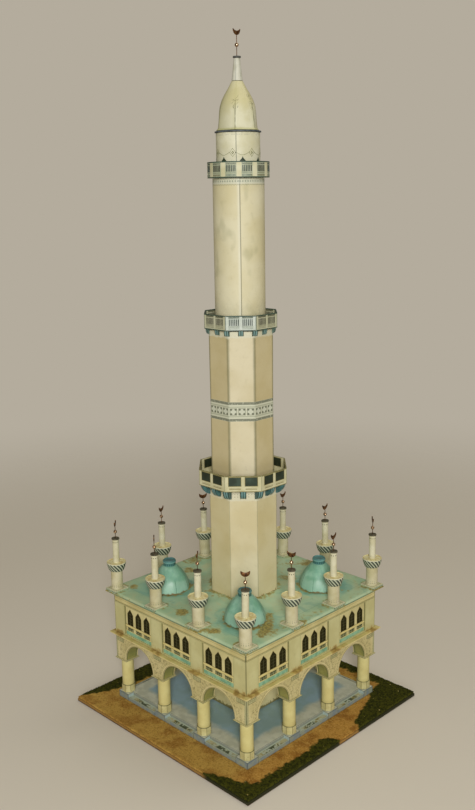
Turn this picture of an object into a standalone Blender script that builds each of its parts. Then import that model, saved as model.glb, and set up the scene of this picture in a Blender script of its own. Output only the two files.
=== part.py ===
# Card model of a minaret on a square base board.
# Metres, +Z up. The origin is the middle of the board's underside, and the
# board's sides run along X and Y. South is -Y and east is +X.

import math

import bmesh
import bpy
from mathutils import Matrix

# Driving sizes, in metres. Heights are above the ground mat unless said otherwise.

GAP = 0.0003                    # clearance between two glued pieces
JOIN = 0.0004                   # how far shapes of one piece sink into each other
OVER = 0.0010                   # how far a cutter runs past the face that it cuts

BOARD_SIDE = 0.1496
BOARD_THICKNESS = 0.0020
BOARD_CHAMFER = 0.0004
MAT_SIDE = 0.1492
MAT_THICKNESS = 0.0007
GROUND_TOP = BOARD_THICKNESS + GAP + MAT_THICKNESS   # above the board's underside

BAY = 0.0345                    # spacing of the columns, three bays a side
FACE = 0.0563                   # half width over the arcade and the upper walls

PLINTH_HALF = 0.0560
PLINTH_TOP = 0.0043
STEP_TOP = 0.0024
STEP_DEPTH = 0.0040
BLOCK_WIDTH = 0.0092            # full-height block of the plinth under a column

COLUMN_OFFSET = 1.5 * BAY       # axis of the outer columns
SHAFT_RADIUS = 0.0037
COLLAR_RADIUS = 0.0043
COLLAR_HEIGHT = 0.0048
SPRING = 0.0275                 # foot of the arches
ABACUS_SIDE = 0.0104
ABACUS_THICKNESS = 0.0005
ARCH_RADIUS = 0.01275
ARCADE_DEPTH = 0.0090
ARCADE_TOP = 0.0434

CORE_HALF = 0.0240
CORE_WALL = 0.0010

LEDGE_HALF = 0.0590
LEDGE_TOP = 0.0444

WALL_THICKNESS = 0.0016
WALL_TOP = 0.0646
PANEL_WIDTH = 0.0244
PANEL_FOOT = 0.0454
PANEL_HEAD = 0.0640
PANEL_RECESS = 0.0007

CORNICE_TOP_HALF = 0.0596
CORNICE_TOP = 0.0714
CORNICE_THICKNESS = 0.0012
ROOF_HALF = 0.0600
ROOF_TOP = 0.0723

CORNER_DOME_OFFSET = 0.0320
CORNER_DOME_GORES = 8
CORNER_DOME_RADIUS = 0.0124
CORNER_DOME_HEIGHT = 0.0154
CORNER_DOME_POWER = 1.9         # how full the dome's curve is; 2 is a parabola
CORNER_DOME_ROWS = 6
CROWN_RADIUS = 0.0040
CROWN_SEAT_RADIUS = 0.0042      # top of the dome under the crown
CROWN_HEIGHT = 0.0036

MINI_OFFSET = 0.0548            # axis of the corner small minarets
MINI_BASE_SIDE = 0.0104
MINI_BASE_THICKNESS = 0.0004
MINI_LOWER_RADIUS = 0.0036
MINI_CONE_FOOT = 0.0842
MINI_GALLERY_RADIUS = 0.0062
MINI_GALLERY_TOP = 0.0898
MINI_GALLERY_THICKNESS = 0.0005
MINI_UPPER_RADIUS = 0.0022
MINI_CAP_RADIUS = 0.0024
MINI_CAP_FOOT = 0.1041
MINI_CAP_TOP = 0.1049
MINI_BEAD_HEIGHT = 0.1088
MINI_CRESCENT_HEIGHT = 0.1147   # centre of the crescent's outer circle

WIRE_RADIUS = 0.0003
BEAD_RADIUS = 0.00125
BEAD_LATITUDES = (75, 45, 0, -45, -75)   # rings of the bead, in degrees
CRESCENT_RADIUS = 0.0025
CRESCENT_SHIFT = 0.0013         # how far the cut-out circle sits above the outer one
CRESCENT_THICKNESS = 0.0005
CRESCENT_BITE_DEPTH = 0.0040    # length of the cutter along its axis

TUBE_WALL = 0.0010
LOWER_TUBE_RADIUS = 0.0212      # to the corners of the octagon
MIDDLE_TUBE_RADIUS = 0.0196
UPPER_TUBE_RADIUS = 0.0145
PARAPET_THICKNESS = 0.0009
BALCONY_FLOOR = 0.0008
BRACKET_INSET = 0.0012          # from the parapet's face to the bracket's end
LOWER_BALCONY_RADIUS = 0.0275
LOWER_BALCONY_FOOT = 0.1405
LOWER_BALCONY_TOP = 0.1502
LOWER_BRACKET_DROP = 0.0062
LOWER_BRACKET_WIDTH = 0.0034
MIDDLE_BALCONY_RADIUS = 0.0222
MIDDLE_BALCONY_FOOT = 0.2316
MIDDLE_BALCONY_TOP = 0.2404
MIDDLE_BRACKET_DROP = 0.0036
MIDDLE_BRACKET_WIDTH = 0.0030
UPPER_BALCONY_RADIUS = 0.0171
UPPER_BALCONY_FOOT = 0.3142
UPPER_BALCONY_TOP = 0.3227

DRUM_RADIUS = 0.0121
DRUM_TOP = 0.3379
EAVE_RADIUS = 0.0128
EAVE_THICKNESS = 0.0007
DOME_FOOT = DRUM_TOP + GAP + EAVE_THICKNESS + GAP
DOME_GORES = 6
DOME_TURN = -52.6               # direction of one gore seam, in degrees from +X
DOME_PROFILE = [                # radius and height above the dome's foot
    (0.0122, 0.0000),
    (0.0118, 0.0030),
    (0.0113, 0.0068),
    (0.0109, 0.0100),
    (0.0104, 0.0126),
    (0.0094, 0.0159),
    (0.0076, 0.0191),
    (0.0054, 0.0223),
    (0.0033, 0.0256),
]
SPIRE_FOOT_RADIUS = 0.0030
SPIRE_TOP_RADIUS = 0.0017
SPIRE_TOP = 0.3766
TOP_CAP_RADIUS = 0.0022
TOP_CAP_THICKNESS = 0.0008
TOP_BEAD_HEIGHT = 0.3834
TOP_CRESCENT_HEIGHT = 0.3910

HALF_FACE = 22.5                # half the angle that an octagon's face spans, in degrees
ROUND_STEPS = 32
BRACKET_STEPS = 24
CRESCENT_STEPS = 20
SMALL_STEPS = 16
WIRE_STEPS = 8
MERGE = 0.00002

# Directions in which the crescents face, in degrees, round the roof from the
# south-east corner.
MINI_CRESCENT_TURNS = [45, 20, 110, 75, 150, 95, 30, 60, 140, 10, 160, 100]
TOP_CRESCENT_TURN = 62

SIDES = {"south": 0, "east": 90, "north": 180, "west": 270}


# Scene, collections and materials

for old in list(bpy.data.objects):
    bpy.data.objects.remove(old, do_unlink=True)

parts = bpy.data.collections.new("card_minaret")
cutters = bpy.data.collections.new("cutters")
bpy.context.scene.collection.children.link(parts)
bpy.context.scene.collection.children.link(cutters)

ground = bpy.data.objects.new("ground_level", None)
ground.location.z = GROUND_TOP
parts.objects.link(ground)

COLOURS = {
    "hardboard": ((0.20, 0.12, 0.06), 0.80, 0.0),
    "scatter": ((0.28, 0.17, 0.06), 0.95, 0.0),
    "floor_card": ((0.33, 0.38, 0.36), 0.60, 0.0),
    "cream_card": ((0.66, 0.60, 0.36), 0.55, 0.0),
    "roof_card": ((0.35, 0.50, 0.38), 0.60, 0.0),
    "teal_card": ((0.25, 0.45, 0.36), 0.50, 0.0),
    "ivory_card": ((0.74, 0.70, 0.52), 0.55, 0.0),
    "edge_card": ((0.10, 0.12, 0.14), 0.60, 0.0),
    "bronze": ((0.22, 0.12, 0.06), 0.35, 0.8),
}


def material_for(name, kind):
    """A material of the object's own, in one of the model's finishes."""
    colour, roughness, metallic = COLOURS[kind]
    material = bpy.data.materials.new(name + "_finish")
    material.use_nodes = True
    shader = material.node_tree.nodes["Principled BSDF"]
    shader.inputs["Base Color"].default_value = (*colour, 1.0)
    shader.inputs["Roughness"].default_value = roughness
    shader.inputs["Metallic"].default_value = metallic
    return material


def add_object(name, bm, kind=None):
    """Turn a bmesh into an object on the ground level; no finish means a helper."""
    mesh = bpy.data.meshes.new(name)
    bm.to_mesh(mesh)
    bm.free()
    piece = bpy.data.objects.new(name, mesh)
    piece.parent = ground
    if kind is None:
        piece.hide_render = True
        piece.display_type = "WIRE"
        cutters.objects.link(piece)
    else:
        mesh.materials.append(material_for(name, kind))
        parts.objects.link(piece)
    return piece


# Shape helpers

def block(name, size, foot, kind=None, at=(0.0, 0.0)):
    """A box of the given size that stands with its foot at the given height."""
    bm = bmesh.new()
    bmesh.ops.create_cube(bm, size=1.0)
    bmesh.ops.scale(bm, vec=size, verts=bm.verts)
    piece = add_object(name, bm, kind)
    piece.location = (at[0], at[1], foot + size[2] / 2)
    return piece


def drum(name, radius, depth, foot, steps, kind=None, at=(0.0, 0.0), turn=0.0, top_radius=None):
    """A closed cylinder or cone frustum with a vertical axis."""
    bm = bmesh.new()
    bmesh.ops.create_cone(
        bm, cap_ends=True, segments=steps, radius1=radius,
        radius2=radius if top_radius is None else top_radius, depth=depth)
    piece = add_object(name, bm, kind)
    piece.location = (at[0], at[1], foot + depth / 2)
    piece.rotation_euler.z = math.radians(turn)
    return piece


def turned(name, profile, steps, kind=None, at=(0.0, 0.0), turn=0.0, ring=False):
    """A profile of (radius, height), listed down its outer side, swept by Screw."""
    bm = bmesh.new()
    verts = [bm.verts.new((radius, 0.0, height)) for radius, height in profile]
    for first, second in zip(verts, verts[1:]):
        bm.edges.new((first, second))
    if ring:
        bm.edges.new((verts[-1], verts[0]))
    piece = add_object(name, bm, kind)
    piece.location = (at[0], at[1], 0.0)
    piece.rotation_euler.z = math.radians(turn)
    screw = piece.modifiers.new("Screw", "SCREW")
    screw.steps = steps
    screw.render_steps = steps
    screw.use_merge_vertices = True
    screw.merge_threshold = MERGE
    screw.use_smooth_shade = False
    return piece


def tube(name, radius, wall, foot, top, steps, kind, turn=0.0):
    """An open tube of the given outer radius."""
    inner = radius - wall
    profile = [(radius, top), (radius, foot), (inner, foot), (inner, top)]
    return turned(name, profile, steps, kind, turn=turn, ring=True)


def boolean(piece, helper, operation):
    """Cut a helper out of a piece, or join it on."""
    modifier = piece.modifiers.new(operation.title(), "BOOLEAN")
    modifier.operation = operation
    modifier.solver = "EXACT"
    modifier.object = helper


def smooth(piece, angle=35.0):
    """Shade the piece smooth, keeping its real edges sharp."""
    piece.data.shade_smooth()
    piece.data.set_sharp_from_angle(angle=math.radians(angle))


def mitred_bar(name, depth, foot, top, kind, outer_top=None, outer_foot=FACE):
    """A bar along the south face with mitred ends; its face may lean outwards."""
    outer_top = outer_foot if outer_top is None else outer_top
    joint = GAP / 2 * math.sqrt(2.0)
    bm = bmesh.new()
    bmesh.ops.create_cube(bm, size=1.0)
    for vert in bm.verts:
        outer = outer_top if vert.co.z > 0 else outer_foot
        reach = outer if vert.co.y < 0 else outer - depth
        vert.co.z = top if vert.co.z > 0 else foot
        vert.co.x = math.copysign(reach - joint, vert.co.x)
        vert.co.y = -reach
    return add_object(name, bm, kind)


def ring_of_places(count_a_side, offset):
    """Places round a square, from the south-east corner towards the north."""
    step = 2 * offset / (count_a_side - 1)
    places = []
    for index in range(count_a_side - 1):
        along = -offset + index * step
        places.append((offset, along))
    for index in range(count_a_side - 1):
        along = offset - index * step
        places.append((along, offset))
    for index in range(count_a_side - 1):
        along = offset - index * step
        places.append((-offset, along))
    for index in range(count_a_side - 1):
        along = -offset + index * step
        places.append((along, -offset))
    return places


# Board and ground

def make_base():
    board = block("base_board", (BOARD_SIDE, BOARD_SIDE, BOARD_THICKNESS), -GROUND_TOP, "hardboard")
    edge = board.modifiers.new("Bevel", "BEVEL")
    edge.width = BOARD_CHAMFER
    edge.segments = 1
    block("ground_mat", (MAT_SIDE, MAT_SIDE, MAT_THICKNESS), -MAT_THICKNESS, "scatter")


# Plinth with a step between the column blocks

def make_plinth():
    plinth = block("plinth", (2 * PLINTH_HALF, 2 * PLINTH_HALF, PLINTH_TOP - GAP), GAP, "floor_card")
    length = BAY - BLOCK_WIDTH
    notch_size = (length, STEP_DEPTH + OVER, PLINTH_TOP - STEP_TOP + OVER)
    out = PLINTH_HALF - (STEP_DEPTH - OVER) / 2
    for side, degrees in SIDES.items():
        turn = math.radians(degrees)
        for bay in (-1, 0, 1):
            notch = block(f"step_{side}_{bay}", notch_size, STEP_TOP)
            along = bay * BAY
            notch.location.x = along * math.cos(turn) + out * math.sin(turn)
            notch.location.y = along * math.sin(turn) - out * math.cos(turn)
            notch.rotation_euler.z = turn
            boolean(plinth, notch, "DIFFERENCE")


# Columns

def make_column(number, at):
    name = f"column_{number:02d}"
    foot = PLINTH_TOP + GAP
    top = SPRING - GAP
    column = drum(name, COLLAR_RADIUS, COLLAR_HEIGHT, foot, 8, "cream_card", at, HALF_FACE)
    shaft = drum(f"shaft_{number:02d}", SHAFT_RADIUS, top - ABACUS_THICKNESS / 2 - foot - JOIN,
                 foot + JOIN, SMALL_STEPS, None, at)
    abacus = block(f"abacus_{number:02d}", (ABACUS_SIDE, ABACUS_SIDE, ABACUS_THICKNESS),
                   top - ABACUS_THICKNESS, None, at)
    boolean(column, shaft, "UNION")
    boolean(column, abacus, "UNION")


# Arcade, one mitred wall a side with three round arches

def make_arcade(side, degrees):
    arcade = mitred_bar(f"arcade_{side}", ARCADE_DEPTH, SPRING, ARCADE_TOP, "cream_card")
    for bay in (-1, 0, 1):
        bm = bmesh.new()
        bmesh.ops.create_cone(bm, cap_ends=True, segments=ROUND_STEPS, radius1=ARCH_RADIUS,
                              radius2=ARCH_RADIUS, depth=3 * ARCADE_DEPTH)
        arch = add_object(f"arch_{side}_{bay}", bm)
        arch.rotation_euler = (math.radians(90), 0.0, 0.0)
        arch.location = (bay * BAY, -FACE + ARCADE_DEPTH / 2, SPRING)
        arch.parent = arcade
        boolean(arcade, arch, "DIFFERENCE")
    arcade.rotation_euler.z = math.radians(degrees)


# Square core inside the arcade, an open-ended card box

def make_core():
    outer = CORE_HALF * math.sqrt(2.0)
    wall = CORE_WALL * math.sqrt(2.0)
    tube("ground_core", outer, wall, PLINTH_TOP + GAP, ARCADE_TOP, 4, "cream_card", turn=45.0)


# Upper storey: ledge, recessed walls, sloped cornice and roof

def make_upper_wall(side, degrees):
    wall = mitred_bar(f"upper_wall_{side}", WALL_THICKNESS, LEDGE_TOP + GAP, WALL_TOP, "cream_card")
    size = (PANEL_WIDTH, PANEL_RECESS + OVER, PANEL_HEAD - PANEL_FOOT)
    for bay in (-1, 0, 1):
        panel = block(f"panel_{side}_{bay}", size, PANEL_FOOT)
        panel.location.x = bay * BAY
        panel.location.y = -FACE + (PANEL_RECESS - OVER) / 2
        panel.parent = wall
        boolean(wall, panel, "DIFFERENCE")
    wall.rotation_euler.z = math.radians(degrees)


def make_storey():
    ledge_foot = ARCADE_TOP + GAP
    block("ledge", (2 * LEDGE_HALF, 2 * LEDGE_HALF, LEDGE_TOP - ledge_foot), ledge_foot, "cream_card")
    for side, degrees in SIDES.items():
        make_upper_wall(side, degrees)
        cornice = mitred_bar(f"cornice_{side}", CORNICE_THICKNESS, WALL_TOP + GAP, CORNICE_TOP,
                             "cream_card", outer_top=CORNICE_TOP_HALF)
        cornice.rotation_euler.z = math.radians(degrees)
    roof_foot = CORNICE_TOP + GAP
    block("roof", (2 * ROOF_HALF, 2 * ROOF_HALF, ROOF_TOP - roof_foot), roof_foot, "roof_card")


# Gored domes over the quarters of the roof

def make_corner_dome(name, at):
    foot = ROOF_TOP + GAP
    crown_foot = foot + CORNER_DOME_HEIGHT
    profile = [(0.0, crown_foot)]
    for row in range(CORNER_DOME_ROWS + 1):
        rise = 1.0 - row / CORNER_DOME_ROWS
        bulge = 1.0 - rise ** CORNER_DOME_POWER
        radius = CROWN_SEAT_RADIUS + (CORNER_DOME_RADIUS - CROWN_SEAT_RADIUS) * bulge
        profile.append((radius, foot + CORNER_DOME_HEIGHT * rise))
    profile.append((0.0, foot))
    dome = turned(name, profile, CORNER_DOME_GORES, "teal_card", at, HALF_FACE)
    crown = drum(name + "_crown", CROWN_RADIUS, CROWN_HEIGHT + JOIN, crown_foot - JOIN,
                 SMALL_STEPS, None, at)
    boolean(dome, crown, "UNION")


# Finials: wire, bead and an upturned crescent

def make_wire(name, foot, bead_height, top, at):
    """The wire with its bead, as one turned body."""
    bead = []
    for latitude in BEAD_LATITUDES:
        angle = math.radians(latitude)
        bead.append((BEAD_RADIUS * math.cos(angle), bead_height + BEAD_RADIUS * math.sin(angle)))
    above = [(0.0, top), (WIRE_RADIUS, top)]
    below = [(WIRE_RADIUS, foot), (0.0, foot)]
    return turned(name, above + bead + below, WIRE_STEPS, None, at)


def make_crescent(name, height, at, turn):
    """A flat crescent standing on the wire: one disc with a second disc cut out."""
    discs = []
    for label, shift, depth in (("", 0.0, CRESCENT_THICKNESS),
                                ("_bite", CRESCENT_SHIFT, CRESCENT_BITE_DEPTH)):
        bm = bmesh.new()
        bmesh.ops.create_cone(bm, cap_ends=True, segments=CRESCENT_STEPS, radius1=CRESCENT_RADIUS,
                              radius2=CRESCENT_RADIUS, depth=depth)
        disc = add_object(name + label, bm)
        disc.rotation_euler = (math.radians(90), 0.0, math.radians(turn))
        disc.location = (at[0], at[1], height + shift)
        discs.append(disc)
    boolean(discs[0], discs[1], "DIFFERENCE")
    return discs[0]


def add_finial(piece, name, foot, bead_height, crescent_height, at, turn):
    """Join a wire with its bead, and a crescent, onto a piece."""
    wire_top = crescent_height - CRESCENT_RADIUS + JOIN
    wire = make_wire(name + "_wire", foot, bead_height, wire_top, at)
    crescent = make_crescent(name + "_crescent", crescent_height, at, turn)
    boolean(piece, wire, "UNION")
    boolean(piece, crescent, "UNION")


# Small minarets round the roof's edge

def make_mini_minaret(number, at, turn):
    name = f"small_minaret_{number:02d}"
    base_foot = ROOF_TOP + GAP
    shaft_foot = base_foot + MINI_BASE_THICKNESS / 2
    profile = [
        (0.0, MINI_CAP_TOP),
        (MINI_CAP_RADIUS, MINI_CAP_TOP),
        (MINI_CAP_RADIUS, MINI_CAP_FOOT),
        (MINI_UPPER_RADIUS, MINI_CAP_FOOT),
        (MINI_UPPER_RADIUS, MINI_GALLERY_TOP),
        (MINI_GALLERY_RADIUS, MINI_GALLERY_TOP),
        (MINI_GALLERY_RADIUS, MINI_GALLERY_TOP - MINI_GALLERY_THICKNESS),
        (MINI_LOWER_RADIUS, MINI_CONE_FOOT),
        (MINI_LOWER_RADIUS, shaft_foot),
        (0.0, shaft_foot),
    ]
    minaret = turned(name, profile, SMALL_STEPS, "ivory_card", at)
    base = block(f"base_{number:02d}", (MINI_BASE_SIDE, MINI_BASE_SIDE, MINI_BASE_THICKNESS),
                 base_foot, None, at)
    boolean(minaret, base, "UNION")
    add_finial(minaret, f"small_{number:02d}", MINI_CAP_TOP - JOIN, MINI_BEAD_HEIGHT,
               MINI_CRESCENT_HEIGHT, at, turn)


# Balconies: a floor with a parapet, and curved brackets below on the two lower ones

def make_balcony(name, radius, foot, top, steps, turn):
    inner = radius - PARAPET_THICKNESS
    profile = [
        (0.0, foot + BALCONY_FLOOR),
        (inner, foot + BALCONY_FLOOR),
        (inner, top),
        (radius, top),
        (radius, foot),
        (0.0, foot),
    ]
    return turned(name, profile, steps, "cream_card", turn=turn)


def make_bracket(name, inner, reach, width, top, drop, turn):
    """A bracket with a rounded underside, as a thin quarter drum beside the tower."""
    bm = bmesh.new()
    bmesh.ops.create_cone(bm, cap_ends=True, segments=BRACKET_STEPS, radius1=1.0, radius2=1.0,
                          depth=width)
    bmesh.ops.rotate(bm, verts=bm.verts, matrix=Matrix.Rotation(math.radians(90), 3, "X"))
    bmesh.ops.scale(bm, vec=(reach, 1.0, drop), verts=bm.verts)
    for normal in ((-1.0, 0.0, 0.0), (0.0, 0.0, 1.0)):
        edges = bm.verts[:] + bm.edges[:] + bm.faces[:]
        cut = bmesh.ops.bisect_plane(bm, geom=edges, plane_co=(0.0, 0.0, 0.0), plane_no=normal,
                                     clear_outer=True)
        rim = [item for item in cut["geom_cut"] if isinstance(item, bmesh.types.BMEdge)]
        bmesh.ops.edgenet_fill(bm, edges=rim)
    bmesh.ops.recalc_face_normals(bm, faces=bm.faces)
    bracket = add_object(name, bm)
    angle = math.radians(turn)
    bracket.location = (inner * math.cos(angle), inner * math.sin(angle), top)
    bracket.rotation_euler.z = angle
    return bracket


def add_brackets(balcony, tube_radius, balcony_radius, width, foot, drop):
    flat = math.cos(math.radians(HALF_FACE))
    for index in range(16):
        on_corner = index % 2 == 1
        scale = 1.0 if on_corner else flat
        inner = tube_radius * scale + GAP
        reach = (balcony_radius - BRACKET_INSET) * scale - inner
        bracket = make_bracket(f"{balcony.name}_bracket_{index:02d}", inner, reach, width,
                               foot + BALCONY_FLOOR / 2, drop, index * HALF_FACE)
        boolean(balcony, bracket, "UNION")


# Tower

def make_tower():
    tube("tower_lower", LOWER_TUBE_RADIUS, TUBE_WALL, ROOF_TOP + GAP, LOWER_BALCONY_FOOT - GAP, 8,
         "cream_card", HALF_FACE)
    lower = make_balcony("balcony_lower", LOWER_BALCONY_RADIUS, LOWER_BALCONY_FOOT, LOWER_BALCONY_TOP,
                         8, HALF_FACE)
    add_brackets(lower, LOWER_TUBE_RADIUS, LOWER_BALCONY_RADIUS, LOWER_BRACKET_WIDTH,
                 LOWER_BALCONY_FOOT, LOWER_BRACKET_DROP)
    tube("tower_middle", MIDDLE_TUBE_RADIUS, TUBE_WALL, LOWER_BALCONY_FOOT + BALCONY_FLOOR + GAP,
         MIDDLE_BALCONY_FOOT - GAP, 8, "cream_card", HALF_FACE)
    middle = make_balcony("balcony_middle", MIDDLE_BALCONY_RADIUS, MIDDLE_BALCONY_FOOT,
                          MIDDLE_BALCONY_TOP, 8, HALF_FACE)
    add_brackets(middle, MIDDLE_TUBE_RADIUS, MIDDLE_BALCONY_RADIUS, MIDDLE_BRACKET_WIDTH,
                 MIDDLE_BALCONY_FOOT, MIDDLE_BRACKET_DROP)
    smooth(tube("tower_upper", UPPER_TUBE_RADIUS, TUBE_WALL, MIDDLE_BALCONY_FOOT + BALCONY_FLOOR + GAP,
                UPPER_BALCONY_FOOT - GAP, ROUND_STEPS, "cream_card"))
    make_balcony("balcony_upper", UPPER_BALCONY_RADIUS, UPPER_BALCONY_FOOT, UPPER_BALCONY_TOP,
                 ROUND_STEPS, 0.0)
    smooth(tube("dome_drum", DRUM_RADIUS, TUBE_WALL, UPPER_BALCONY_FOOT + BALCONY_FLOOR + GAP, DRUM_TOP,
                ROUND_STEPS, "cream_card"))
    drum("dome_eave", EAVE_RADIUS, EAVE_THICKNESS, DRUM_TOP + GAP, ROUND_STEPS, "edge_card")


# Main dome, spire and finial

def make_top():
    profile = [(radius, DOME_FOOT + height) for radius, height in reversed(DOME_PROFILE)]
    dome_top = profile[0][1]
    profile = [(0.0, dome_top)] + profile + [(0.0, DOME_FOOT)]
    turned("main_dome", profile, DOME_GORES, "cream_card", turn=DOME_TURN)
    spire_foot = dome_top + GAP
    smooth(drum("spire", SPIRE_FOOT_RADIUS, SPIRE_TOP - spire_foot, spire_foot, SMALL_STEPS,
                "ivory_card", top_radius=SPIRE_TOP_RADIUS))
    cap = drum("top_finial", TOP_CAP_RADIUS, TOP_CAP_THICKNESS, SPIRE_TOP + GAP, SMALL_STEPS, "bronze")
    add_finial(cap, "top", SPIRE_TOP + GAP + TOP_CAP_THICKNESS / 2, TOP_BEAD_HEIGHT,
               TOP_CRESCENT_HEIGHT, (0.0, 0.0), TOP_CRESCENT_TURN)


make_base()
make_plinth()
make_core()
for index, place in enumerate(ring_of_places(4, COLUMN_OFFSET)):
    make_column(index + 1, place)
for side_name, side_turn in SIDES.items():
    make_arcade(side_name, side_turn)
make_storey()
for dome_name, sign_x, sign_y in (("south_east", 1, -1), ("north_east", 1, 1),
                                  ("north_west", -1, 1), ("south_west", -1, -1)):
    make_corner_dome(f"corner_dome_{dome_name}", (sign_x * CORNER_DOME_OFFSET, sign_y * CORNER_DOME_OFFSET))
for index, place in enumerate(ring_of_places(4, MINI_OFFSET)):
    make_mini_minaret(index + 1, place, MINI_CRESCENT_TURNS[index])
make_tower()
make_top()
bpy.context.view_layer.update()
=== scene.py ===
# Looks of the card minaret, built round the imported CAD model.
# Lengths are millimetres and angles are degrees. Heights are above the ground mat.

import math
import random

import bmesh
import bpy
from mathutils import Matrix, Vector, noise


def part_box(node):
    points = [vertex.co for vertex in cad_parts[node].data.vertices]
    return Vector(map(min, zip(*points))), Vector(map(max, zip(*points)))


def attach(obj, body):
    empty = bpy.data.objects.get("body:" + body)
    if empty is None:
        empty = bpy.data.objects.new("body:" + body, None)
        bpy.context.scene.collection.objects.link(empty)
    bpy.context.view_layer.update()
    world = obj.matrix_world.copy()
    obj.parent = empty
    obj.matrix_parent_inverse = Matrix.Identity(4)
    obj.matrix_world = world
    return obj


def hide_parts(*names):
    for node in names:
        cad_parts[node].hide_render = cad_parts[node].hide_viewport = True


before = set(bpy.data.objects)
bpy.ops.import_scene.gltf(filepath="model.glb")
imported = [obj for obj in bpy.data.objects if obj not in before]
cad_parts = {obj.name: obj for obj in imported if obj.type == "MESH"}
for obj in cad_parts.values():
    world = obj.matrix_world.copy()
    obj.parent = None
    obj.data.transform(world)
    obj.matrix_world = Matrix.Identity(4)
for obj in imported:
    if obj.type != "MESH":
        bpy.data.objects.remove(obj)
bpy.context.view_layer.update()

MM = 0.001
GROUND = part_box("ground_mat")[1].z / MM         # the mat's top, above the board's underside
PLACE = Matrix.Translation((0.0, 0.0, GROUND * MM)) @ Matrix.Scale(MM, 4)
FRONT = -45.1                                   # direction of the photographed corner, from +X
SMOOTH_ANGLE = 35.0
SUNK = 0.15                                     # how far a print's body reaches into its card
MITRE = 0.06                                    # half the joint between two walls at a corner
SIDES = {"south": -90.0, "east": 0.0, "north": 90.0, "west": 180.0}
CORNERS = ("south_east", "north_east", "north_west", "south_west")
TURN = 2.0 * math.pi


def box(node):
    """A CAD node's lowest and highest corners, above the ground."""
    low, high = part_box(node)
    lift = Vector((0.0, 0.0, GROUND))
    return low / MM - lift, high / MM - lift


def extent(node):
    """A node's foot, its top, and how far it reaches along X from the tower's axis."""
    low, high = box(node)
    return low.z, high.z, high.x


def reach_of(node):
    return extent(node)[2]


def middle(node):
    """The place of a node's upright axis."""
    low, high = box(node)
    return (low.x + high.x) / 2, (low.y + high.y) / 2


def polar(distance, angle, at=(0.0, 0.0)):
    """The place at a distance from another, in a direction in radians."""
    return at[0] + distance * math.cos(angle), at[1] + distance * math.sin(angle)


def steps(first, last, count):
    """Evenly spaced values, both ends included."""
    return [first + (last - first) * index / count for index in range(count + 1)]


def smoothstep(value, low, high):
    share = min(max((value - low) / (high - low), 0.0), 1.0)
    return share * share * (3.0 - 2.0 * share)


def along_path(points, place):
    """The height at a place on a path of (place, height) points."""
    if place <= points[0][0]:
        return points[0][1]
    for (left, low), (right, high) in zip(points, points[1:]):
        if place <= right:
            return low + (high - low) * (place - left) / (right - left)
    return points[-1][1]


# Materials

def tone(red, green, blue):
    """A colour from the photo's 0 to 255 scale."""
    linear = []
    for value in (red, green, blue):
        value /= 255.0
        linear.append(value / 12.92 if value <= 0.04045 else ((value + 0.055) / 1.055) ** 2.4)
    return (*linear, 1.0)


class Value:
    """A number in a material. Arithmetic on it makes Math nodes."""

    def __init__(self, finish, socket):
        self.finish = finish
        self.socket = socket

    def __add__(self, other):
        return self.finish.math("ADD", self, other)

    def __sub__(self, other):
        return self.finish.math("SUBTRACT", self, other)

    def __rsub__(self, other):
        return self.finish.math("SUBTRACT", other, self)

    def __mul__(self, other):
        return self.finish.math("MULTIPLY", self, other)

    def __truediv__(self, other):
        return self.finish.math("DIVIDE", self, other)

    def __abs__(self):
        return self.finish.math("ABSOLUTE", self)

    __radd__ = __add__
    __rmul__ = __mul__

    def larger(self, other):
        return self.finish.math("MAXIMUM", self, other)

    def smaller(self, other):
        return self.finish.math("MINIMUM", self, other)

    def length(self, other):
        """The length of the vector that has these two parts."""
        return self.finish.math("SQRT", self * self + other * other)

    def nearest(self, pitch):
        """The distance from the nearest of the marks that lie a pitch apart."""
        return self - self.finish.math("ROUND", self / pitch) * pitch

    def step(self, low, high):
        """0 at low and 1 at high, with a soft change between them."""
        node = self.finish.node("MapRange", Value=self)
        node.interpolation_type = "SMOOTHSTEP"
        node.inputs["From Min"].default_value = low
        node.inputs["From Max"].default_value = high
        return Value(self.finish, node.outputs["Result"])

    def line(self, width, soft=0.08):
        """1 on a line, where this is the distance from its middle."""
        return abs(self).step(width / 2 + soft, width / 2)

    def band(self, low, high, soft=0.1):
        return self.step(low - soft, low) * self.step(high + soft, high)


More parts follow.
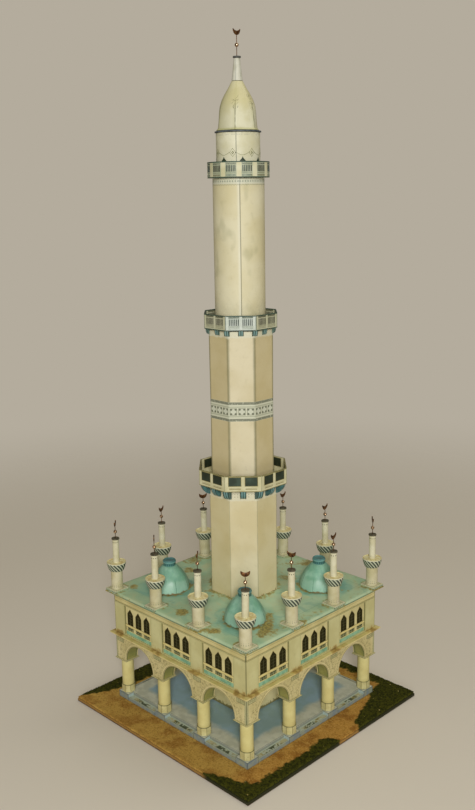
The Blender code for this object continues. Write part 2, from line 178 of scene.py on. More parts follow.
class Finish:
    """A procedural material. Its lengths are millimetres in the model's frame."""

    def __init__(self, name, roughness=0.6, metallic=0.0, shine=0.35):
        self.material = bpy.data.materials.new(name)
        self.material.use_nodes = True
        self.tree = self.material.node_tree
        self.shader = self.tree.nodes["Principled BSDF"]
        for label, value in (("Roughness", roughness), ("Metallic", metallic), ("Specular IOR Level", shine)):
            self.shader.inputs[label].default_value = value
        self.normal = None
        self.place = self.scaled(self.node("TexCoord").outputs["Object"], (1 / MM,) * 3)
        self.x, self.y, height = self.split(self.place)
        self.z = height - GROUND
        self.across = self.along = None

    def node(self, kind, **inputs):
        node = self.tree.nodes.new("ShaderNode" + kind)
        for name, value in inputs.items():
            self.put(node.inputs[name], value)
        return node

    def put(self, socket, value):
        if isinstance(value, Value):
            value = value.socket
        if isinstance(value, bpy.types.NodeSocket):
            self.tree.links.new(value, socket)
        else:
            socket.default_value = value

    def scaled(self, vector, factors):
        node = self.node("VectorMath")
        node.operation = "MULTIPLY"
        self.put(node.inputs[0], vector)
        node.inputs[1].default_value = factors
        return node.outputs[0]

    def split(self, vector):
        return [Value(self, socket) for socket in self.node("SeparateXYZ", Vector=vector).outputs]

    def card(self):
        """The place on the flat card: along it, and up it."""
        node = self.node("UVMap")
        node.uv_map = "card"
        return self.split(node.outputs["UV"])[:2]

    def square(self):
        """The larger and the smaller distance from the two mid-planes of the square."""
        if self.across is None:
            self.across, self.along = abs(self.x).larger(abs(self.y)), abs(self.x).smaller(abs(self.y))
        return self.across, self.along

    def away(self, at):
        """The level distance from an upright axis."""
        return (self.x - at[0]).length(self.y - at[1])

    def attribute(self, name):
        node = self.node("Attribute")
        node.attribute_name = name
        return Value(self, node.outputs["Fac"])

    def math(self, operation, *values):
        node = self.node("Math")
        node.operation = operation
        for socket, value in zip(node.inputs, values):
            self.put(socket, value)
        return Value(self, node.outputs[0])

    def noise(self, size, detail=2.0, stretch=(1.0, 1.0, 1.0), twist=0.0):
        """Noise whose patches are about the given size."""
        node = self.node("TexNoise", Vector=self.scaled(self.place, stretch), Scale=1.0 / size,
                         Detail=detail, Distortion=twist)
        return Value(self, node.outputs["Fac"])

    def patches(self, size, detail, low, high, *stretch):
        """Noise that is cut into patches."""
        return self.noise(size, detail, *stretch).step(low, high)

    def wander(self, size, detail, width):
        """Noise about zero, for edges that aren't straight."""
        return (self.noise(size, detail) - 0.5) * width

    def mix(self, share, first, second):
        node = self.node("Mix")
        node.data_type = "RGBA"
        for index, value in ((0, share), (6, first), (7, second)):
            self.put(node.inputs[index], value)
        return node.outputs[2]

    def lay(self, base, coats):
        """Coats of (share, colour) on a base, the first one lowest."""
        for share, colour in coats:
            base = self.mix(share, base, tone(*colour))
        return base

    def wash(self, size, detail, low, high, light, dark):
        """Two colours in soft patches."""
        return self.mix(self.patches(size, detail, low, high), tone(*light), tone(*dark))

    def bump(self, height, depth):
        node = self.node("Bump", Distance=depth * MM, Height=height)
        if self.normal is not None:
            self.put(node.inputs["Normal"], self.normal)
        self.normal = node.outputs["Normal"]

    def paint(self, colour, roughness=None):
        self.put(self.shader.inputs["Base Color"], colour)
        if roughness is not None:
            self.put(self.shader.inputs["Roughness"], roughness)
        if self.normal is not None:
            self.put(self.shader.inputs["Normal"], self.normal)
        return self.material


def card_finish(name, light, dark, *prints, patch=14.0, roughness=0.5, stain=0.15, shine=0.35):
    """Printed card: a soft wash of two colours, faint dirt, its prints, and paper fibre."""
    finish = Finish(name, roughness, shine=shine)
    colour = finish.wash(patch, 3.0, 0.34, 0.66, light, dark)
    colour = finish.lay(colour, [(finish.patches(2.6, 4.0, 0.56, 0.80) * stain, [v * 0.72 for v in dark])])
    for maker in prints:
        colour = maker(finish, colour)
    finish.bump(finish.noise(7.0, 1.0), 0.22)
    finish.bump(finish.noise(0.45, 3.0), 0.012)
    return finish.paint(colour, roughness - 0.08 + finish.noise(5.0, 2.0) * 0.16)


def printed(draw):
    """Lets draw(finish, base, ...) be given its sizes first, and its finish and base later."""
    def maker(*sizes, **options):
        return lambda finish, base: draw(finish, base, *sizes, **options)
    return maker


@printed
def fold_line_and_shade(finish, base, half, colour, width, strength):
    """A darker line along both folds of a face that is twice half wide: a fold line, widened into painted
    shade beside the fold.
    """
    along, _ = finish.card()
    edge = half - abs(along) + finish.wander(5.0, 3.0, 0.5)
    return finish.lay(base, [(edge.step(width, 0.0) * strength, colour)])


@printed
def dotted_print(finish, base, low, high, colour, pitch, strength=0.6):
    """Rows of small printed dots between two heights."""
    along, up = finish.card()
    dots = along.nearest(pitch).length(up.nearest(pitch)).step(0.42, 0.22)
    seen = up.band(low, high) * finish.patches(1.3, 1.0, 0.42, 0.5)
    return finish.lay(base, [(dots * seen * strength, colour)])


@printed
def shaded_side_faces(finish, base, colour, strength):
    """Painted shade: a darker colour on the octagon's four faces that are square to the base."""
    across, _ = finish.square()
    corner = (abs(finish.x) + abs(finish.y)) * math.sqrt(0.5)
    return finish.lay(base, [((across - corner).step(-0.1, 0.1) * strength, colour)])


@printed
def pale_zone(finish, base, low, high, colour):
    """A paler strip of the printed card between two heights."""
    lower = (finish.z + finish.wander(3.0, 2.0, 2.0)).step(low - 0.6, low + 0.4)
    return finish.lay(base, [(lower * finish.z.step(high + 0.1, high) * 0.6, colour)])


@printed
def ring_print(finish, base, count, height, size, reference, radius, colour, strength):
    """One ring of dots round a shaft whose card is measured on the reference radius."""
    along, up = finish.card()
    across = along.nearest(TURN * reference / count) * (radius / reference)
    return finish.lay(base, [
        (across.length(up - height).step(size + 0.08, size - 0.05) * strength, colour)])


@printed
def seam_print(finish, base, at, colour, width, strength):
    """A thin dark joint down the card at one place along it."""
    along, _ = finish.card()
    mark = (along - at + finish.wander(6.0, 2.0, 0.3)).line(width)
    return finish.lay(base, [(mark * strength, colour)])


# Meshes

class Shape:
    """Faces gathered in millimetres, each corner with its place on the flat card."""

    def __init__(self):
        self.points = []
        self.faces = []
        self.cards = []
        self.finishes = []

    def face(self, finish, corners, cards=None):
        """One face. Unless its places on the card are given, they are seen from above."""
        start = len(self.points)
        self.points.extend(corners)
        self.faces.append(range(start, start + len(corners)))
        self.cards.extend(cards or [corner[:2] for corner in corners])
        self.finishes.append(finish)

    def grid(self, finish, rows, cards):
        """Quads between rows of points that all have the same length."""
        for lower, upper, low_cards, high_cards in zip(rows, rows[1:], cards, cards[1:]):
            for index in range(len(lower) - 1):
                self.face(finish, *([low[index], low[index + 1], high[index + 1], high[index]]
                                    for low, high in ((lower, upper), (low_cards, high_cards))))

    def turned(self, outline, profile, finish, finishes=None):
        """A profile of (radius, height) from the foot up, swept round an outline."""
        for index in range(len(profile) - 1):
            rows, cards = [], []
            for radius, height in profile[index:index + 2]:
                strips = outline(radius)
                rows.append([[(x, y, height) for x, y, _ in strip] for strip in strips])
                cards.append([[(u, height) for _, _, u in strip] for strip in strips])
            for lower, upper, low_cards, high_cards in zip(*rows, *cards):
                used = finishes[index] if finishes else finish
                self.grid(used, [lower, upper], [low_cards, high_cards])

    def plate(self, finish, place, pairs, rise):
        """A thin closed print on a surface, between the paths of its two long sides."""
        fronts = [[place(u, v, rise) for u, v in pair] for pair in pairs]
        backs = [[place(u, v, -SUNK) for u, v in pair] for pair in pairs]
        cards = [list(pair) for pair in pairs]
        self.grid(finish, fronts, cards)
        self.grid(finish, backs, cards)
        for side in (0, 1):
            self.grid(finish, [[front[side] for front in fronts], [back[side] for back in backs]],
                      [[pair[side] for pair in cards]] * 2)
        for end in (0, -1):
            self.grid(finish, [fronts[end], backs[end]], [cards[end]] * 2)

    def bar(self, finish, place, left, right, foot, top, rise, cuts=1):
        """A rectangular print."""
        self.plate(finish, place, [((u, foot), (u, top)) for u in steps(left, right, cuts)], rise)

    def strip(self, finish, place, centre, half, foot, top, rise, cuts=1):
        """A rectangular print that is twice half wide."""
        self.bar(finish, place, centre - half, centre + half, foot, top, rise, cuts)

    def ring(self, finish, place, u, v, radius, width, rise=0.06, count=12):
        """A small printed ring."""
        pairs = [[polar(reach, angle, (u, v)) for reach in (radius - width, radius)]
                 for angle in steps(0.0, TURN, count)]
        self.plate(finish, place, pairs, rise)

    def diamond(self, finish, place, u, v, half_width, half_height, line, rise=0.06):
        """A printed diamond outline."""
        corners = ((1.0, 0.0), (0.0, 1.0), (-1.0, 0.0), (0.0, -1.0), (1.0, 0.0))
        pairs = [[(u + x * (half_width - inset), v + y * (half_height - inset)) for inset in (line, 0.0)]
                 for x, y in corners]
        self.plate(finish, place, pairs, rise)

    def arched(self, finish, place, centre, foot, top, width, rise=0.05):
        """A slim opening with a round head."""
        half = width / 2
        pairs = []
        for angle in steps(math.pi, 0.0, 6):
            u, v = polar(half, angle, (centre, top - half))
            pairs.append(((u, foot), (u, v)))
        self.plate(finish, place, pairs, rise)

    def relief(self, place, us, vs, finish_at, depth_at, back):
        """A closed board with a stepped face; depth_at gives each cell's height."""
        columns, rows = len(us) - 1, len(vs) - 1

        def quad(finish, spots):
            self.face(finish, [place(*spot) for spot in spots], [spot[:2] for spot in spots])

        def depth(column, row):
            inside = 0 <= column < columns and 0 <= row < rows
            return depth_at(column, row) if inside else back

        for column in range(columns):
            for row in range(rows):
                left, right = us[column], us[column + 1]
                foot, top = vs[row], vs[row + 1]
                here = depth(column, row)
                finish = finish_at(column, row)
                corners = ((left, foot), (right, foot), (right, top), (left, top))
                quad(finish, [(u, v, here) for u, v in corners])
                quad(finish, [(u, v, back) for u, v in corners])
                for index, beside in enumerate(neighbours(column, row)):
                    there = depth(*beside)
                    if there < here:
                        first, second = corners[index], corners[(index + 1) % 4]
                        quad(finish, [(*first, here), (*second, here), (*second, there), (*first, there)])

    def gored(self, finish, at, turn, gores, count, radius, rings, crease):
        """A closed dome of bent gores, from rings of (height, reach, flat share, pinch)."""
        part = TURN / gores
        rows, cards = [], []
        for height, reach, flat_share, pinch in rings:
            row, card = [], []
            for index in range(count + 1):
                angle = TURN * index / count
                local = (angle % part) - part / 2
                flatness = math.cos(part / 2) / math.cos(local)
                fold = math.exp(-((abs(local) - part / 2) / crease) ** 2)
                distance = reach * (flat_share * flatness + 1.0 - flat_share - pinch * fold)
                row.append((*polar(distance, math.radians(turn) + angle, at), height))
                card.append((angle * radius, height))
            rows.append(row)
            cards.append(card)
        self.grid(finish, rows, cards)
        for end in (0, -1):
            self.grid(finish, [rows[end], [(*at, rings[end][0])] * (count + 1)], [cards[end]] * 2)

    def add(self, name, slot, *nodes, move=None, sharp=SMOOTH_ANGLE):
        """Make the piece, which rides on the model and stands for the given nodes."""
        mesh = bpy.data.meshes.new(name)
        mesh.from_pydata([PLACE @ Vector(point) if move is None else PLACE @ (move @ Vector(point))
                          for point in self.points], [], self.faces)
        layer = mesh.uv_layers.new(name="card")
        layer.uv.foreach_set("vector", [value for card in self.cards for value in card])
        kinds = list(dict.fromkeys(self.finishes))
        for kind in kinds:
            mesh.materials.append(kind)
        mesh.polygons.foreach_set("material_index", [kinds.index(kind) for kind in self.finishes])
        work = bmesh.new()
        work.from_mesh(mesh)
        bmesh.ops.remove_doubles(work, verts=work.verts, dist=2e-6)
        bmesh.ops.recalc_face_normals(work, faces=work.faces)
        work.to_mesh(mesh)
        work.free()
        mesh.shade_smooth()
        mesh.set_sharp_from_angle(angle=math.radians(sharp))
        piece = bpy.data.objects.new(name, mesh)
        bpy.context.scene.collection.objects.link(piece)
        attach(piece, "root")
        if nodes:
            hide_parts(*nodes)
        return piece

    def dress(self, slot, node, **options):
        """Make the piece that stands for one node."""
        self.add(f"{node}_dressed", slot, node, **options)


def neighbours(column, row):
    """The cells beside a cell: in front, right, behind and left."""
    return (column, row - 1), (column + 1, row), (column, row + 1), (column - 1, row)


def flat(angle, distance, end=None):
    """Places on an upright face: u along it, v up, and the rise out of it.

    Past end, the face is cut off along the mitre of a square's corner.
    """
    turn = math.radians(angle)
    out = (math.cos(turn), math.sin(turn))

    def place(u, v, rise=0.0):
        if end is not None:
            limit = end + rise
            u = min(max(u, -limit), limit)
        return (out[0] * (distance + rise) - out[1] * u, out[1] * (distance + rise) + out[0] * u, v)
    return place


def curved(radius, angle, sign=1.0):
    """Places on an upright cylinder: u round it from the given direction. Sign -1 is its inside."""
    def place(u, v, rise=0.0):
        return (*polar(radius + sign * rise, math.radians(angle) + u / radius), v)
    return place


def round_outline(count, reference, turn, at=(0.0, 0.0)):
    """Circles round an axis; u is measured on the reference radius from the turn's direction."""
    def outline(radius):
        return [[(*polar(radius, math.radians(turn) + angle, at), angle * reference)
                 for angle in steps(-math.pi, math.pi, count)]]
    return outline


def folded_outline(sides, fold=0.5, at=(0.0, 0.0)):
    """Polygons of folded card; the radius is measured to the middle of a face."""
    part = math.pi / sides
    inset = fold * (1.0 / math.sin(part) - 1.0 / math.tan(part))

    def outline(radius):
        half = radius * math.tan(part)
        bend = min(fold, half * 0.4)
        corner = radius / math.cos(part) - inset * bend / fold
        strips = []
        for index in range(sides):
            angle = index * 2.0 * part
            out = (math.cos(angle), math.sin(angle))
            strip = []
            for u in (-half + bend, -half + 2 * bend, 0.0, half - 2 * bend, half - bend):
                strip.append((at[0] + out[0] * radius - out[1] * u,
                              at[1] + out[1] * radius + out[0] * u, u))
            for sign, slot in ((-1, 0), (1, len(strip) + 1)):
                strip.insert(slot, (*polar(corner, angle + sign * part, at), sign * half))
            strips.append(strip)
        return strips
    return outline


def keep(node, finish, bevel=0.12):
    """A CAD node that keeps its shape, with soft edges and a finish."""
    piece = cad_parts[node]
    weld = piece.modifiers.new("Weld", "WELD")
    weld.merge_threshold = 1e-5
    soft = piece.modifiers.new("Bevel", "BEVEL")
    soft.width = bevel * MM
    soft.segments = 2
    soft.limit_method = "ANGLE"
    soft.angle_limit = math.radians(30)
    for slot in piece.material_slots:
        slot.link = "OBJECT"
        slot.material = finish


# Colours, as they would look in even light

CREAM = (221, 212, 178)
CREAM_DEEP = (209, 197, 156)
STONE = (205, 201, 149)
STONE_DEEP = (193, 187, 133)
COLUMN = (216, 207, 143)
COLUMN_DEEP = (206, 195, 130)
IVORY = (218, 214, 186)
IVORY_DEEP = (202, 196, 160)
FOLD_SHADE = (132, 134, 104)
OLIVE = (112, 104, 58)
OLIVE_DARK = (62, 58, 26)
MOSS = (122, 96, 48)
WINDOW = (46, 43, 16)


# The tower's octagonal tubes

EIGHTH = math.tan(math.pi / 8)                  # half a face's width, for an apothem of 1
BAND_CENTRE = 185.8                             # height of the middle tube's flower band


@printed
def foot_strokes(finish, base, foot):
    """Short upright strokes of brown growth at the foot of a wall."""
    height = 3.4
    reach = finish.noise(0.9, 2.0, (1.0, 1.0, 0.12)) * height * 1.6
    stroke = (finish.z - foot - reach + height * 0.45).step(0.5, -0.2)
    return finish.lay(base, [(stroke * 0.75, MOSS)])


@printed
def band_print(finish, base, centre, half):
    """A printed band with three framed flowers on each face of the tower."""
    ink = (104, 108, 90)
    along, up = finish.card()
    side = abs(up - centre)
    border = side.band(4.1, 5.45, 0.15) * finish.patches(0.8, 2.0, 0.24, 0.46)
    place = abs(along.nearest(4.85))
    square = place.larger(side)
    inside = abs(along).step(half, half - 0.2)
    flower = (place + side).step(2.1, 1.8)
    petal = (place - 1.25).length(side - 1.25)
    return finish.lay(base, [
        (side.step(5.7, 5.5) * 0.85, (206, 210, 190)),
        (border * 0.85, ink),
        (side.band(2.5, 3.0, 0.2) * 0.6, (150, 156, 132)),
        (square.step(1.95, 1.8) * inside * 0.5, (160, 166, 142)),
        (flower * inside * 0.6, (214, 217, 200)),
        (petal.step(0.72, 0.42) * inside * 0.85, (78, 84, 64)),
        ((square - 1.9).line(0.24) * inside * 0.7, ink)])


def make_tube(node, colours, *prints):
    """A folded tube whose faces are a little hollow halfway up."""
    foot, top, apothem = extent(node)
    wall, hollow = 0.5, 0.12
    outline = folded_outline(8)
    shape = Shape()
    finish = card_finish(node + "_card", *colours, *prints, patch=22.0)
    profile = []
    for height in steps(foot, top, 10):
        wave = 0.5 - 0.5 * math.cos(TURN * (height - foot) / (top - foot))
        profile.append((apothem - hollow * wave, height))
    inner = [(apothem - wall, foot), (apothem - wall, top)]
    for path in (profile, inner, [inner[0], profile[0]], [inner[1], profile[-1]]):
        shape.turned(outline, path, finish)
    shape.dress("tower_card", node)


def make_octagonal_tubes():
    foot, top, apothem = extent("tower_lower")
    make_tube("tower_lower", (CREAM, CREAM_DEEP),
              shaded_side_faces((198, 182, 118), 0.3),
              fold_line_and_shade(apothem * EIGHTH, FOLD_SHADE, 0.7, 0.45),
              foot_strokes(foot),
              pale_zone(top - 6.5, top, (222, 220, 198)),
              dotted_print(top - 5.6, top - 0.6, (120, 124, 100), 1.6))
    _, top, apothem = extent("tower_middle")
    half = apothem * EIGHTH
    make_tube("tower_middle", ((217, 208, 177), (204, 193, 156)),
              shaded_side_faces((186, 168, 112), 0.5),
              fold_line_and_shade(half, (120, 118, 86), 1.5, 0.75),
              pale_zone(top - 3.4, top, (214, 216, 196)),
              band_print(BAND_CENTRE, half))


# The round tube, rolled from one sheet with an open lap seam

@printed
def tube_top_print(finish, base, top):
    """A pale band with a row of dark marks under the balcony, and a scalloped line below it."""
    along, up = finish.card()
    down = top - up
    beside = along.nearest(1.5)
    mark = beside.length((down - 1.6) * 0.8)
    scallop = abs(beside) * 0.7
    return finish.lay(base, [
        (down.step(3.2, 2.9) * 0.6, (206, 212, 200)),
        (mark.step(0.55, 0.3) * 0.6, (104, 120, 106)),
        ((down - 3.2 - scallop).line(0.28) * 0.6, (120, 132, 112))])


@printed
def lap_print(finish, base, radius):
    """The worn edge of the lap, the shade under it, and a few smudges."""
    along, _ = finish.card()
    edge = along + math.pi * radius
    fresh = 0.55 + finish.noise(16.0, 2.0) * 0.8
    hidden = edge.step(TURN * radius - 0.8, TURN * radius - 0.4)
    smudge = finish.patches(9.0, 2.0, 0.56, 0.72, (1.0, 1.0, 0.6))
    return finish.lay(base, [
        (edge.step(1.8, 0.2) * fresh * 0.7, (230, 228, 206)),
        (hidden * 0.7, (124, 122, 98)),
        (smudge * 0.3, (150, 152, 116))])


def make_round_tube():
    foot, top, radius = extent("tower_upper")
    seam = FRONT + 1.2
    lap, wall = 0.28, 0.22
    finish = card_finish("tower_upper_card", (223, 217, 186), (211, 202, 162), lap_print(radius),
                         tube_top_print(top), patch=26.0)
    shape = Shape()
    count = 72
    outer_rows, inner_rows, cards = [], [], []
    for height in steps(foot, top, 24):
        share = (height - foot) / (top - foot)
        opening = 0.30 * math.exp(-((share - 0.66) / 0.10) ** 2) + 0.08 * math.sin(9.0 * share)
        opening *= smoothstep(share, 0.0, 0.08) * (1.0 - smoothstep(share, 0.92, 1.0))
        outer, inner, card = [], [], []
        for index in range(count + 1):
            angle = TURN * index / count
            reach = radius - lap * index / count + max(opening * math.exp(-angle / 0.09), 0.0)
            spin = math.radians(seam + 0.25 * math.sin(4.0 * share)) - angle
            outer.append((*polar(reach, spin), height))
            inner.append((*polar(reach - wall, spin), height))
            card.append(((angle - math.pi) * radius, height))
        outer_rows.append(outer)
        inner_rows.append(inner)
        cards.append(card)
    shape.grid(finish, outer_rows, cards)
    shape.grid(finish, inner_rows, cards)
    for end in (0, -1):
        shape.grid(finish, [outer_rows[end], inner_rows[end]], [cards[end]] * 2)
    edge = card_finish("tower_upper_edge", (240, 240, 226), (222, 222, 204), stain=0.1)
    for end in (0, -1):
        shape.grid(edge, [[row[end] for row in rows] for rows in (outer_rows, inner_rows)],
                   [[card[end] for card in cards]] * 2)
    shape.dress("tower_card", "tower_upper")


# Balconies

PARAPET = 0.7                                   # thickness of the parapets and floors


def bracket_shape(shape, finishes, turn, inner, reach, width, top, drop):
    """A curved bracket: a quarter round under the floor, with dark edges and a middle fold."""
    face, dark = finishes
    place = flat(turn, 0.0)
    arc = [(inner + reach * math.cos(angle), top - drop * math.sin(angle))
           for angle in steps(0.0, math.pi / 2, 12)]
    half, edge = width / 2, 0.35
    sides = (-half, -half + edge, 0.0, half - edge, half)
    ridge = (0.0, 0.06, -0.10, 0.06, 0.0)
    for index, finish in enumerate((dark, face, face, dark)):
        pair = (index, index + 1)
        rows = [[place(sides[k], height, distance + ridge[k]) for k in pair] for distance, height in arc]
        shape.grid(finish, rows, [[(sides[k], height) for k in pair] for _, height in arc])
    for side in (-half, half):
        rim = [place(side, height, distance) for distance, height in arc]
        shape.face(face, rim + [place(side, top, inner)], arc + [(inner, top)])
    back = [place(side, height, inner) for side, height in
            ((-half, top - drop), (half, top - drop), (half, top), (-half, top))]
    shape.face(face, back, [(0.0, 0.0)] * 4)


def make_balcony_body(shape, finish, rim, outline, foot, top, face):
    """Floor and parapet, with a thin coloured edge along the parapet's top."""
    inner = face - PARAPET
    profile = [(0.0, foot), (face, foot), (face, top), (inner, top), (inner, foot + PARAPET),
               (0.0, foot + PARAPET)]
    shape.turned(outline, profile, finish, [finish, finish, rim, finish, finish])


def make_brackets(shape, balcony, tube, width, drop, finishes):
    foot, _, apothem = extent(balcony)
    slant = math.cos(math.pi / 8)
    for index in range(16):
        at_corner = index % 2
        inner = reach_of(tube) * (1.0 / slant if at_corner else 1.0) + 0.15
        reach = (apothem / slant - 1.2) * (1.0 if at_corner else slant) - inner
        bracket_shape(shape, finishes, index * 22.5, inner, reach, width, foot + drop + 0.4, drop)


def bracket_highlights_and_fold(finish, base):
    """A painted highlight stripe at each side of a bracket's dark middle fold."""
    along, _ = finish.card()
    return finish.lay(base, [
        (abs(along).band(0.4, 0.9, 0.25) * 0.65, (134, 172, 172)),
        (along.line(0.3) * 0.8, (34, 58, 60))])


def octagon_sides(face):
    """The outer and the inner side of each face of an octagonal parapet."""
    for index in range(8):
        yield flat(index * 45.0, face), flat(index * 45.0 + 180.0, -(face - PARAPET))


def make_lower_balcony():
    foot, top, face = extent("balcony_lower")
    drop = 6.2
    foot += drop
    half = face * EIGHTH
    frame_card = card_finish("balcony_lower_card", (214, 210, 174), (198, 193, 152),
                             fold_line_and_shade(half, FOLD_SHADE, 0.5, 0.7), patch=8.0)
    rim = card_finish("balcony_lower_rim", (142, 136, 90), (118, 114, 72), patch=4.0)
    panel = card_finish("balcony_lower_panel", (60, 78, 64), (42, 56, 42), shaded_side_faces((32, 36, 18), 0.65),
                        patch=5.0)
    ink = card_finish("balcony_lower_ink", (140, 130, 80), (122, 112, 66), patch=5.0)
    teal = card_finish("bracket_teal", (74, 116, 116), (56, 90, 90), bracket_highlights_and_fold, patch=3.0,
                       roughness=0.42)
    dark = card_finish("bracket_edge", (40, 62, 60), (30, 48, 46), patch=3.0)
    shape = Shape()
    make_balcony_body(shape, frame_card, rim, folded_outline(8, 0.35), foot, top, face)
    for outside, inside in octagon_sides(face):
        for centre in (-4.7, 4.7):
            for place, width in ((outside, 6.9), (inside, 6.3)):
                shape.strip(ink, place, centre, width / 2 + 0.3, foot + 3.2, foot + 8.8, 0.03)
                shape.strip(panel, place, centre, width / 2, foot + 3.5, foot + 8.5, 0.06)
            for height, deep in ((1.35, 0.35), (2.1, 0.16)):
                shape.strip(ink, outside, centre, 3.3, foot + height, foot + height + deep, 0.04)
        shape.strip(rim, outside, 0.0, half - 0.3, top - 0.45, top - 0.03, 0.04)
        shape.strip(ink, outside, 0.0, half - 0.3, foot + 0.05, foot + 0.35, 0.04)
    make_brackets(shape, "balcony_lower", "tower_lower", 3.4, drop, (teal, dark))
    shape.dress("tower_card", "balcony_lower")
    return dark


def make_middle_balcony(bracket_dark):
    foot, top, face = extent("balcony_middle")
    drop = 3.6
    foot += drop
    half = face * EIGHTH
    pale = card_finish("balcony_middle_card", (208, 216, 208), (190, 200, 188),
                       shaded_side_faces((186, 180, 132), 0.6), fold_line_and_shade(half, (70, 90, 80), 0.5, 0.9), patch=6.0)
    green = card_finish("balcony_rim_green", (58, 84, 72), (44, 66, 56), patch=4.0)
    loops = card_finish("balcony_loops", (158, 168, 150), (128, 140, 124), shaded_side_faces((128, 120, 80), 0.6),
                        patch=1.4)
    dark = card_finish("balcony_baluster", (84, 96, 92), (64, 74, 68), shaded_side_faces((48, 42, 28), 0.8),
                       patch=2.0)
    bracket_face = card_finish("middle_bracket_face", (104, 130, 120), (80, 104, 94), bracket_highlights_and_fold,
                               patch=3.0, roughness=0.42)
    shape = Shape()
    make_balcony_body(shape, pale, green, folded_outline(8, 0.35), foot, top, face)
    for places in octagon_sides(face):
        for place in places:
            shape.strip(green, place, 0.0, half - 0.3, top - 0.5, top - 0.03, 0.06)
            shape.strip(green, place, 0.0, half - 0.3, foot + 0.05, foot + 0.45, 0.06)
            for left in (-6.8, 0.7):
                right = left + 6.1
                shape.bar(loops, place, left, right, foot + 6.9, foot + 8.1, 0.03)
                for step in range(6):
                    centre = left + 0.55 + step * 1.0
                    shape.arched(dark, place, centre, foot + 2.9, foot + 6.6, 0.58)
                    shape.ring(dark, place, centre, foot + 7.5, 0.42, 0.17)
                for height in (1.1, 1.8, 2.4):
                    shape.bar(loops, place, left, right, foot + height, foot + height + 0.3, 0.04)
    make_brackets(shape, "balcony_middle", "tower_middle", 3.0, drop, (bracket_face, bracket_dark))
    shape.dress("tower_card", "balcony_middle")
    return green, loops, dark


def make_upper_balcony(green, loops, dark):
    foot, top, face = extent("balcony_upper")
    pale = card_finish("balcony_upper_card", (186, 192, 168), (168, 176, 148), patch=6.0)
    post = card_finish("balcony_upper_post", (216, 214, 182), (204, 200, 162), patch=6.0)
    shape = Shape()
    make_balcony_body(shape, pale, green, round_outline(72, face, FRONT), foot, top, face)
    for radius, sign in ((face, 1.0), (face - PARAPET, -1.0)):
        place = curved(radius, FRONT, sign)
        for edge_foot, edge_top in ((top - 0.6, top - 0.03), (foot + 0.05, foot + 0.5)):
            shape.strip(green, place, 0.0, math.pi * radius, edge_foot, edge_top, 0.07, 72)
        pitch = TURN * radius / 12
        for index in range(12):
            centre = (index - 6) * pitch + 0.3
            shape.strip(post, place, centre, 1.3, foot + 0.5, top - 0.6, 0.09, 3)
            left = centre + 1.75
            for step in range(6):
                spot = left + 0.35 + step * 0.94
                shape.arched(dark, place, spot, foot + 3.1, top - 2.0, 0.54, 0.07)
                shape.ring(dark, place, spot, top - 1.3, 0.4, 0.16, 0.07, 8)
            for line_foot, line_top in ((0.8, 1.7), (2.3, 2.6)):
                shape.bar(loops, place, left - 0.1, left + 5.4, foot + line_foot, foot + line_top, 0.07, 5)
    shape.dress("tower_card", "balcony_upper")


# Drum, main dome, spire and the tall finial

def make_drum():
    foot, top, radius = extent("dome_drum")
    finish = card_finish("dome_drum_card", (226, 224, 198), (212, 208, 174),
                         seam_print(math.radians(-5.0) * radius, (92, 100, 84), 0.3, 0.85),
                         dotted_print(top - 1.8, top - 0.2, (150, 156, 150), 0.9, 0.4), patch=10.0)
    ink = card_finish("dome_drum_ink", (130, 134, 88), (112, 116, 74), patch=3.0)
    deep = card_finish("dome_drum_green", (50, 70, 52), (40, 56, 36), patch=3.0)
    shape = Shape()
    inner = radius - 0.5
    shape.turned(round_outline(72, radius, FRONT),
                 [(inner, foot), (radius, foot), (radius, top), (inner, top), (inner, foot)], finish)
    place = curved(radius, FRONT)
    count = 7
    sill = extent("balcony_upper")[1] - 0.9
    for index in range(count):
        peak = math.radians(11.4 + index * 360.0 / count) * radius
        between = peak + math.radians(180.0 / count) * radius
        pairs = [((peak + u, sill - 4.0), (peak + u, sill + 3.0 - abs(u) * 1.05 + 0.5 * (u == 0.0)))
                 for u in (-2.8, -1.4, -0.35, 0.0, 0.35, 1.4, 2.8)]
        shape.plate(deep, place, pairs, 0.06)
        shape.diamond(ink, place, between, sill + 5.5, 1.8, 2.3, 0.24)
        shape.diamond(ink, place, between, sill + 5.5, 0.7, 0.95, 0.42)
        swag = []
        for share in steps(0.0, 1.0, 10):
            u = between + 1.8 + 7.25 * share
            v = sill + 5.6 - 1.5 * math.sin(math.pi * share)
            swag.append(((u, v), (u, v + 0.2)))
        shape.plate(ink, place, swag, 0.04)
    shape.dress("tower_card", "dome_drum")


MAIN_DOME = (                                   # height above the dome's foot, radius
    (0.0, 12.6), (0.3, 12.3), (0.9, 11.75), (2.0, 11.4), (4.4, 11.15), (6.8, 10.9), (9.6, 10.55),
    (12.6, 9.95), (15.9, 8.8), (19.1, 7.05), (22.3, 5.0), (25.6, 3.2))


@printed
def main_dome_print(finish, base, foot, gore):
    """Seams, a yellowed upper half, fine cracks at the seams, and painted shade on the side towards minus X
    and minus Y.
    """
    along, up = finish.card()
    height = up - foot
    from_seam = abs(along.nearest(gore))
    wave = finish.wander(3.0, 3.0, 0.5)
    seam = (from_seam + wave).line(0.28) * (height + wave * 6.0).step(17.0, 14.5)
    yellow = height.step(9.0, 17.0) * (0.5 + finish.noise(12.0) * 0.6)
    crack = (finish.noise(4.5, 3.0, twist=1.5) - 0.5).line(0.012, 0.012)
    near = from_seam.step(3.2, 0.8) * height.band(11.0, 17.5, 1.5)
    # Painted shade, darker towards minus X and minus Y.
    left_side_shade = (finish.x + finish.y).step(-2.0, -15.0)
    return finish.lay(base, [
        (from_seam.step(2.4, 0.0) * 0.35, (176, 178, 136)),
        (seam * 0.9, (92, 92, 56)),
        (yellow * 0.55, (212, 202, 142)),
        (crack * near * 0.8, (96, 96, 62)),
        (left_side_shade * 0.5, (172, 168, 122)),
        (height.step(1.3, 0.6) * 0.6, (190, 190, 128))])


